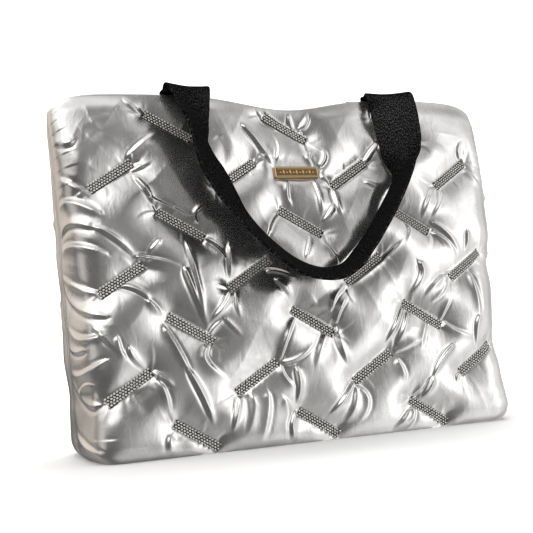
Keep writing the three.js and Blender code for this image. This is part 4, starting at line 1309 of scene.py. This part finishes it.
class BAG_OT_back_panel(bpy.types.Operator):
    """Builds the quilted back with its stitched bars"""
    bl_idname = "bag.back_panel"
    bl_label = "Back panel"

    def execute(self, context):
        b, q, p, _ = all_sizes(context)
        levels = levels_now()[:2]
        obj, _, outer = panel_object("back_cloth", b, q, p, BACK_FOLDS, False, 1, levels, fold_grid(False))
        dress(obj, silver_material("quilted_cloth_back", True), "back_panel")
        bars = bar_stitches("back_bar_stitches", b, q, outer, 1, False)
        dress(bars, bpy.data.materials["bar_thread"])
        return {"FINISHED"}


class BAG_OT_base(bpy.types.Operator):
    """Builds the padded base"""
    bl_idname = "bag.base"
    bl_label = "Base"

    def execute(self, context):
        obj = base_object("base_cloth", all_sizes(context)[0])
        dress(obj, silver_material("base_cloth", False), "base_panel")
        return {"FINISHED"}


class BAG_OT_handles(bpy.types.Operator):
    """Builds the two webbing handles"""
    bl_idname = "bag.handles"
    bl_label = "Handles"

    def execute(self, context):
        b, _, _, h = all_sizes(context)
        webbing = webbing_material()
        for name, node, side in (("front_webbing", "front_strap", -1), ("back_webbing", "back_strap", 1)):
            dress(strap_object(name, b, h, side), webbing, node)
        return {"FINISHED"}


class BAG_OT_plate(bpy.types.Operator):
    """Builds the small metal plate"""
    bl_idname = "bag.plate"
    bl_label = "Plate"

    def execute(self, context):
        b, _, p, _ = all_sizes(context)
        dress(plate_object("gold_plate", b, p), gold_material(), "plate")
        return {"FINISHED"}


# Soft boxes round the bag as the cloth reflects them: where they stand round it and how high in
# degrees, their half spread, how softly the edge falls off, how much taller than wide they
# are, brightness and colour.
SOFT_BOXES = (
    (54, 2, 26, 18, 2.0, 0.88, (1.0, 1.0, 1.0)),
    (46, 8, 8, 6, 3.0, 1.1, (1.0, 1.0, 1.0)),
    (18, 4, 22, 18, 1.4, 0.13, (1.0, 1.0, 1.0)),
    (-36, 44, 18, 10, 1.0, 1.7, (1.0, 1.0, 1.0)),
    (-74, 42, 24, 16, 1.0, 1.3, (1.0, 0.99, 0.97)),
    (-84, -4, 12, 12, 0.8, 0.6, (1.0, 0.95, 0.90)),
    (-142, 20, 26, 22, 0.7, 0.8, (1.0, 0.88, 0.76)),
    (-140, -30, 20, 16, 0.6, 0.25, (1.0, 0.92, 0.84)),
    (10, 84, 22, 14, 1.0, 1.0, (1.0, 1.0, 1.0)),
    (30, -60, 24, 20, 1.0, 0.45, (1.0, 1.0, 1.0)),
    (120, 10, 35, 22, 2.0, 0.6, (1.0, 1.0, 1.0)),
)
ROOM_TONE = (0.12, 0.12, 0.12, 1.0)
BACKDROP_TONE = (1.0, 1.0, 1.0, 1.0)
FLOOR_GLOW = (0.8, 0.8, 0.8, 1.0)
GLOW_FROM = (0.3, 0.8)            # metres from the bag: none, and full
TOP_LIGHT_PLACE = (250, 520, 1700)
TOP_LIGHT_AIM = (0, 0, 100)
TOP_LIGHT_SIDE = 1300
TOP_LIGHT_POWER = 19              # watts


def studio_world():
    """The room: a dark grey with soft boxes, each smooth between two angles from its direction."""
    world = bpy.data.worlds.new("studio")
    world.use_nodes = True
    bpy.context.scene.world = world
    build = Tree(world.node_tree)
    out = world.node_tree.nodes["World Output"]
    background = world.node_tree.nodes["Background"]
    direction = build.node("ShaderNodeTexCoord").outputs["Generated"]
    total = None
    for around, height, spread, soft, tall, strength, rgb in SOFT_BOXES:
        around, height = np.radians(around), np.radians(height)
        level = np.cos(height)
        unit = np.array((np.sin(around) * level, -np.cos(around) * level, np.sin(height) / tall))
        unit /= np.linalg.norm(unit)
        squat = build.vector("NORMALIZE", {0: build.vector("MULTIPLY", {0: direction, 1: (1, 1, 1 / tall)})})
        dot = build.node("ShaderNodeVectorMath", {0: squat, 1: unit}, operation="DOT_PRODUCT")
        low = float(np.cos(np.radians(spread + soft)))
        high = float(np.cos(np.radians(max(spread - soft, 0))))
        ends = {"Value": dot.outputs["Value"], "From Min": low, "From Max": high}
        mask = build.node("ShaderNodeMapRange", ends, interpolation_type="SMOOTHSTEP").outputs[0]
        lit = build.vector("SCALE", {0: rgb, "Scale": build.math("MULTIPLY", mask, strength)})
        total = lit if total is None else build.vector("ADD", {0: total, 1: lit})
    build.feed(background, "Color", build.vector("ADD", {0: total, 1: ROOM_TONE[:3]}))
    plain = build.node("ShaderNodeBackground", {"Color": BACKDROP_TONE})
    path = build.node("ShaderNodeLightPath")
    shares = {0: path.outputs["Is Camera Ray"], 1: background.outputs[0], 2: plain.outputs[0]}
    build.feed(out, "Surface", build.node("ShaderNodeMixShader", shares).outputs[0])


def studio_floor():
    """Floor and backdrop in one sweep: flat, then a quarter circle up, then upright."""
    finish = bpy.context.scene.bag_finish
    reach, bend, tall = 4000.0, 1500.0, 3000.0
    turn = np.linspace(0, np.pi / 2, 17)
    y = np.concatenate(([-reach], bend * np.sin(turn) + 1200, [bend + 1200]))
    z = np.concatenate(([0], bend * (1 - np.cos(turn)), [bend + tall]))
    x = np.array((-reach, reach))
    points = np.stack(np.broadcast_arrays(x[None], y[:, None], z[:, None]), -1)
    faces = grid_faces(len(y), 2)
    obj = new_mesh("studio_floor", points.reshape(-1, 3), faces)
    material, build, shader = new_material("studio_floor")
    path = build.node("ShaderNodeLightPath")
    shader.inputs["Base Color"].default_value = finish.floor
    shader.inputs["Roughness"].default_value = 0.9
    shader.inputs["Specular IOR Level"].default_value = 0.0
    coords = build.node("ShaderNodeTexCoord").outputs["Object"]
    away = build.node("ShaderNodeVectorMath", {0: coords}, operation="LENGTH").outputs["Value"]
    far = build.ramp(away, *GLOW_FROM)
    share = build.math("MULTIPLY", path.outputs["Is Camera Ray"], far)
    glow = build.mix(share, (0.0, 0.0, 0.0, 1.0), FLOOR_GLOW)
    build.feed(shader, "Emission Color", glow)
    shader.inputs["Emission Strength"].default_value = 1.0
    obj.data.materials.append(material)
    obj.visible_glossy = False


def area_light(name, place, aim, size, power):
    """A square light at a place, turned to an aim, both in millimetres."""
    data = bpy.data.lights.new(name, "AREA")
    data.energy = power
    data.size = size * MM
    obj = bpy.data.objects.new(name, data)
    z = np.array(place, float) - np.array(aim, float)
    z /= np.linalg.norm(z)
    x = np.cross((0, 0, 1), z)
    x /= np.linalg.norm(x)
    y = np.cross(z, x)
    matrix = Matrix.Identity(4)
    for k in range(3):
        matrix[k][0], matrix[k][1], matrix[k][2] = x[k], y[k], z[k]
        matrix[k][3] = place[k] * MM
    obj.matrix_world = matrix
    obj.visible_glossy = False
    bpy.context.scene.collection.objects.link(obj)


def studio_camera(b, s):
    """The camera at the photograph's angle, turned about a point inside the bag."""
    a, e, r = s.azimuth, s.elevation, s.roll
    back = np.array((np.sin(a) * np.cos(e), -np.cos(a) * np.cos(e), np.sin(e)))
    right = np.array((np.cos(a), np.sin(a), 0))
    up = np.cross(back, right)
    right, up = np.cos(r) * right + np.sin(r) * up, -np.sin(r) * right + np.cos(r) * up
    place = np.array((s.aim_x + centre_shift(b), 0, s.aim_z)) + back * s.distance
    data = bpy.data.cameras.new("photo_camera")
    data.sensor_width = SENSOR
    data.lens = s.focal * SENSOR / PHOTO_SIDE
    data.shift_x = -s.shift_x / PHOTO_SIDE
    data.shift_y = s.shift_y / PHOTO_SIDE
    data.clip_end = 50
    obj = bpy.data.objects.new("photo_camera", data)
    matrix = Matrix.Identity(4)
    for k in range(3):
        matrix[k][0], matrix[k][1], matrix[k][2], matrix[k][3] = right[k], up[k], back[k], place[k] * MM
    obj.matrix_world = matrix
    bpy.context.scene.collection.objects.link(obj)
    bpy.context.scene.camera = obj


class BAG_OT_studio(bpy.types.Operator):
    """Sets the pale floor, the soft light and the camera"""
    bl_idname = "bag.studio"
    bl_label = "Studio"

    def execute(self, context):
        scene = context.scene
        scene.view_settings.view_transform = "Standard"
        studio_world()
        studio_floor()
        area_light("top_light", TOP_LIGHT_PLACE, TOP_LIGHT_AIM, TOP_LIGHT_SIDE, TOP_LIGHT_POWER)
        studio_camera(in_mm(scene.bag_body), in_mm(scene.bag_studio))
        return {"FINISHED"}


class BAG_PT_sidebar(bpy.types.Panel):
    """Lists the bag's pieces, sizes and colours"""
    bl_idname = "BAG_PT_sidebar"
    bl_label = "Tote bag"
    bl_space_type = "VIEW_3D"
    bl_region_type = "UI"
    bl_category = "Tote bag"

    def draw(self, context):
        for piece in PIECES:
            self.layout.operator(piece.bl_idname)
        for name in GROUPS:
            box = self.layout.box()
            group = getattr(context.scene, name)
            for prop in group.bl_rna.properties.keys():
                if prop not in ("rna_type", "name"):
                    box.prop(group, prop)


PIECES = (BAG_OT_studio, BAG_OT_front_panel, BAG_OT_back_panel, BAG_OT_base, BAG_OT_handles, BAG_OT_plate)
GROUPS = {
    "bag_body": BodySizes,
    "bag_quilt": QuiltSizes,
    "bag_handles": HandleSizes,
    "bag_plate": PlateSizes,
    "bag_finish": Finishes,
    "bag_studio": StudioSettings,
}
CLASSES = (*GROUPS.values(), *PIECES, BAG_PT_sidebar)


def register():
    """Registers the classes and gives the scene their settings."""
    for cls in CLASSES:
        bpy.utils.register_class(cls)
    for name, group in GROUPS.items():
        setattr(bpy.types.Scene, name, PointerProperty(type=group))


def unregister():
    """Takes back what register does."""
    for name in GROUPS:
        delattr(bpy.types.Scene, name)
    for cls in reversed(CLASSES):
        bpy.utils.unregister_class(cls)


def main():
    """Registers the add-on and builds every piece."""
    register()
    bpy.ops.bag.studio()
    bpy.ops.bag.front_panel()
    bpy.ops.bag.back_panel()
    bpy.ops.bag.base()
    bpy.ops.bag.handles()
    bpy.ops.bag.plate()


if __name__ == "__main__":
    main()
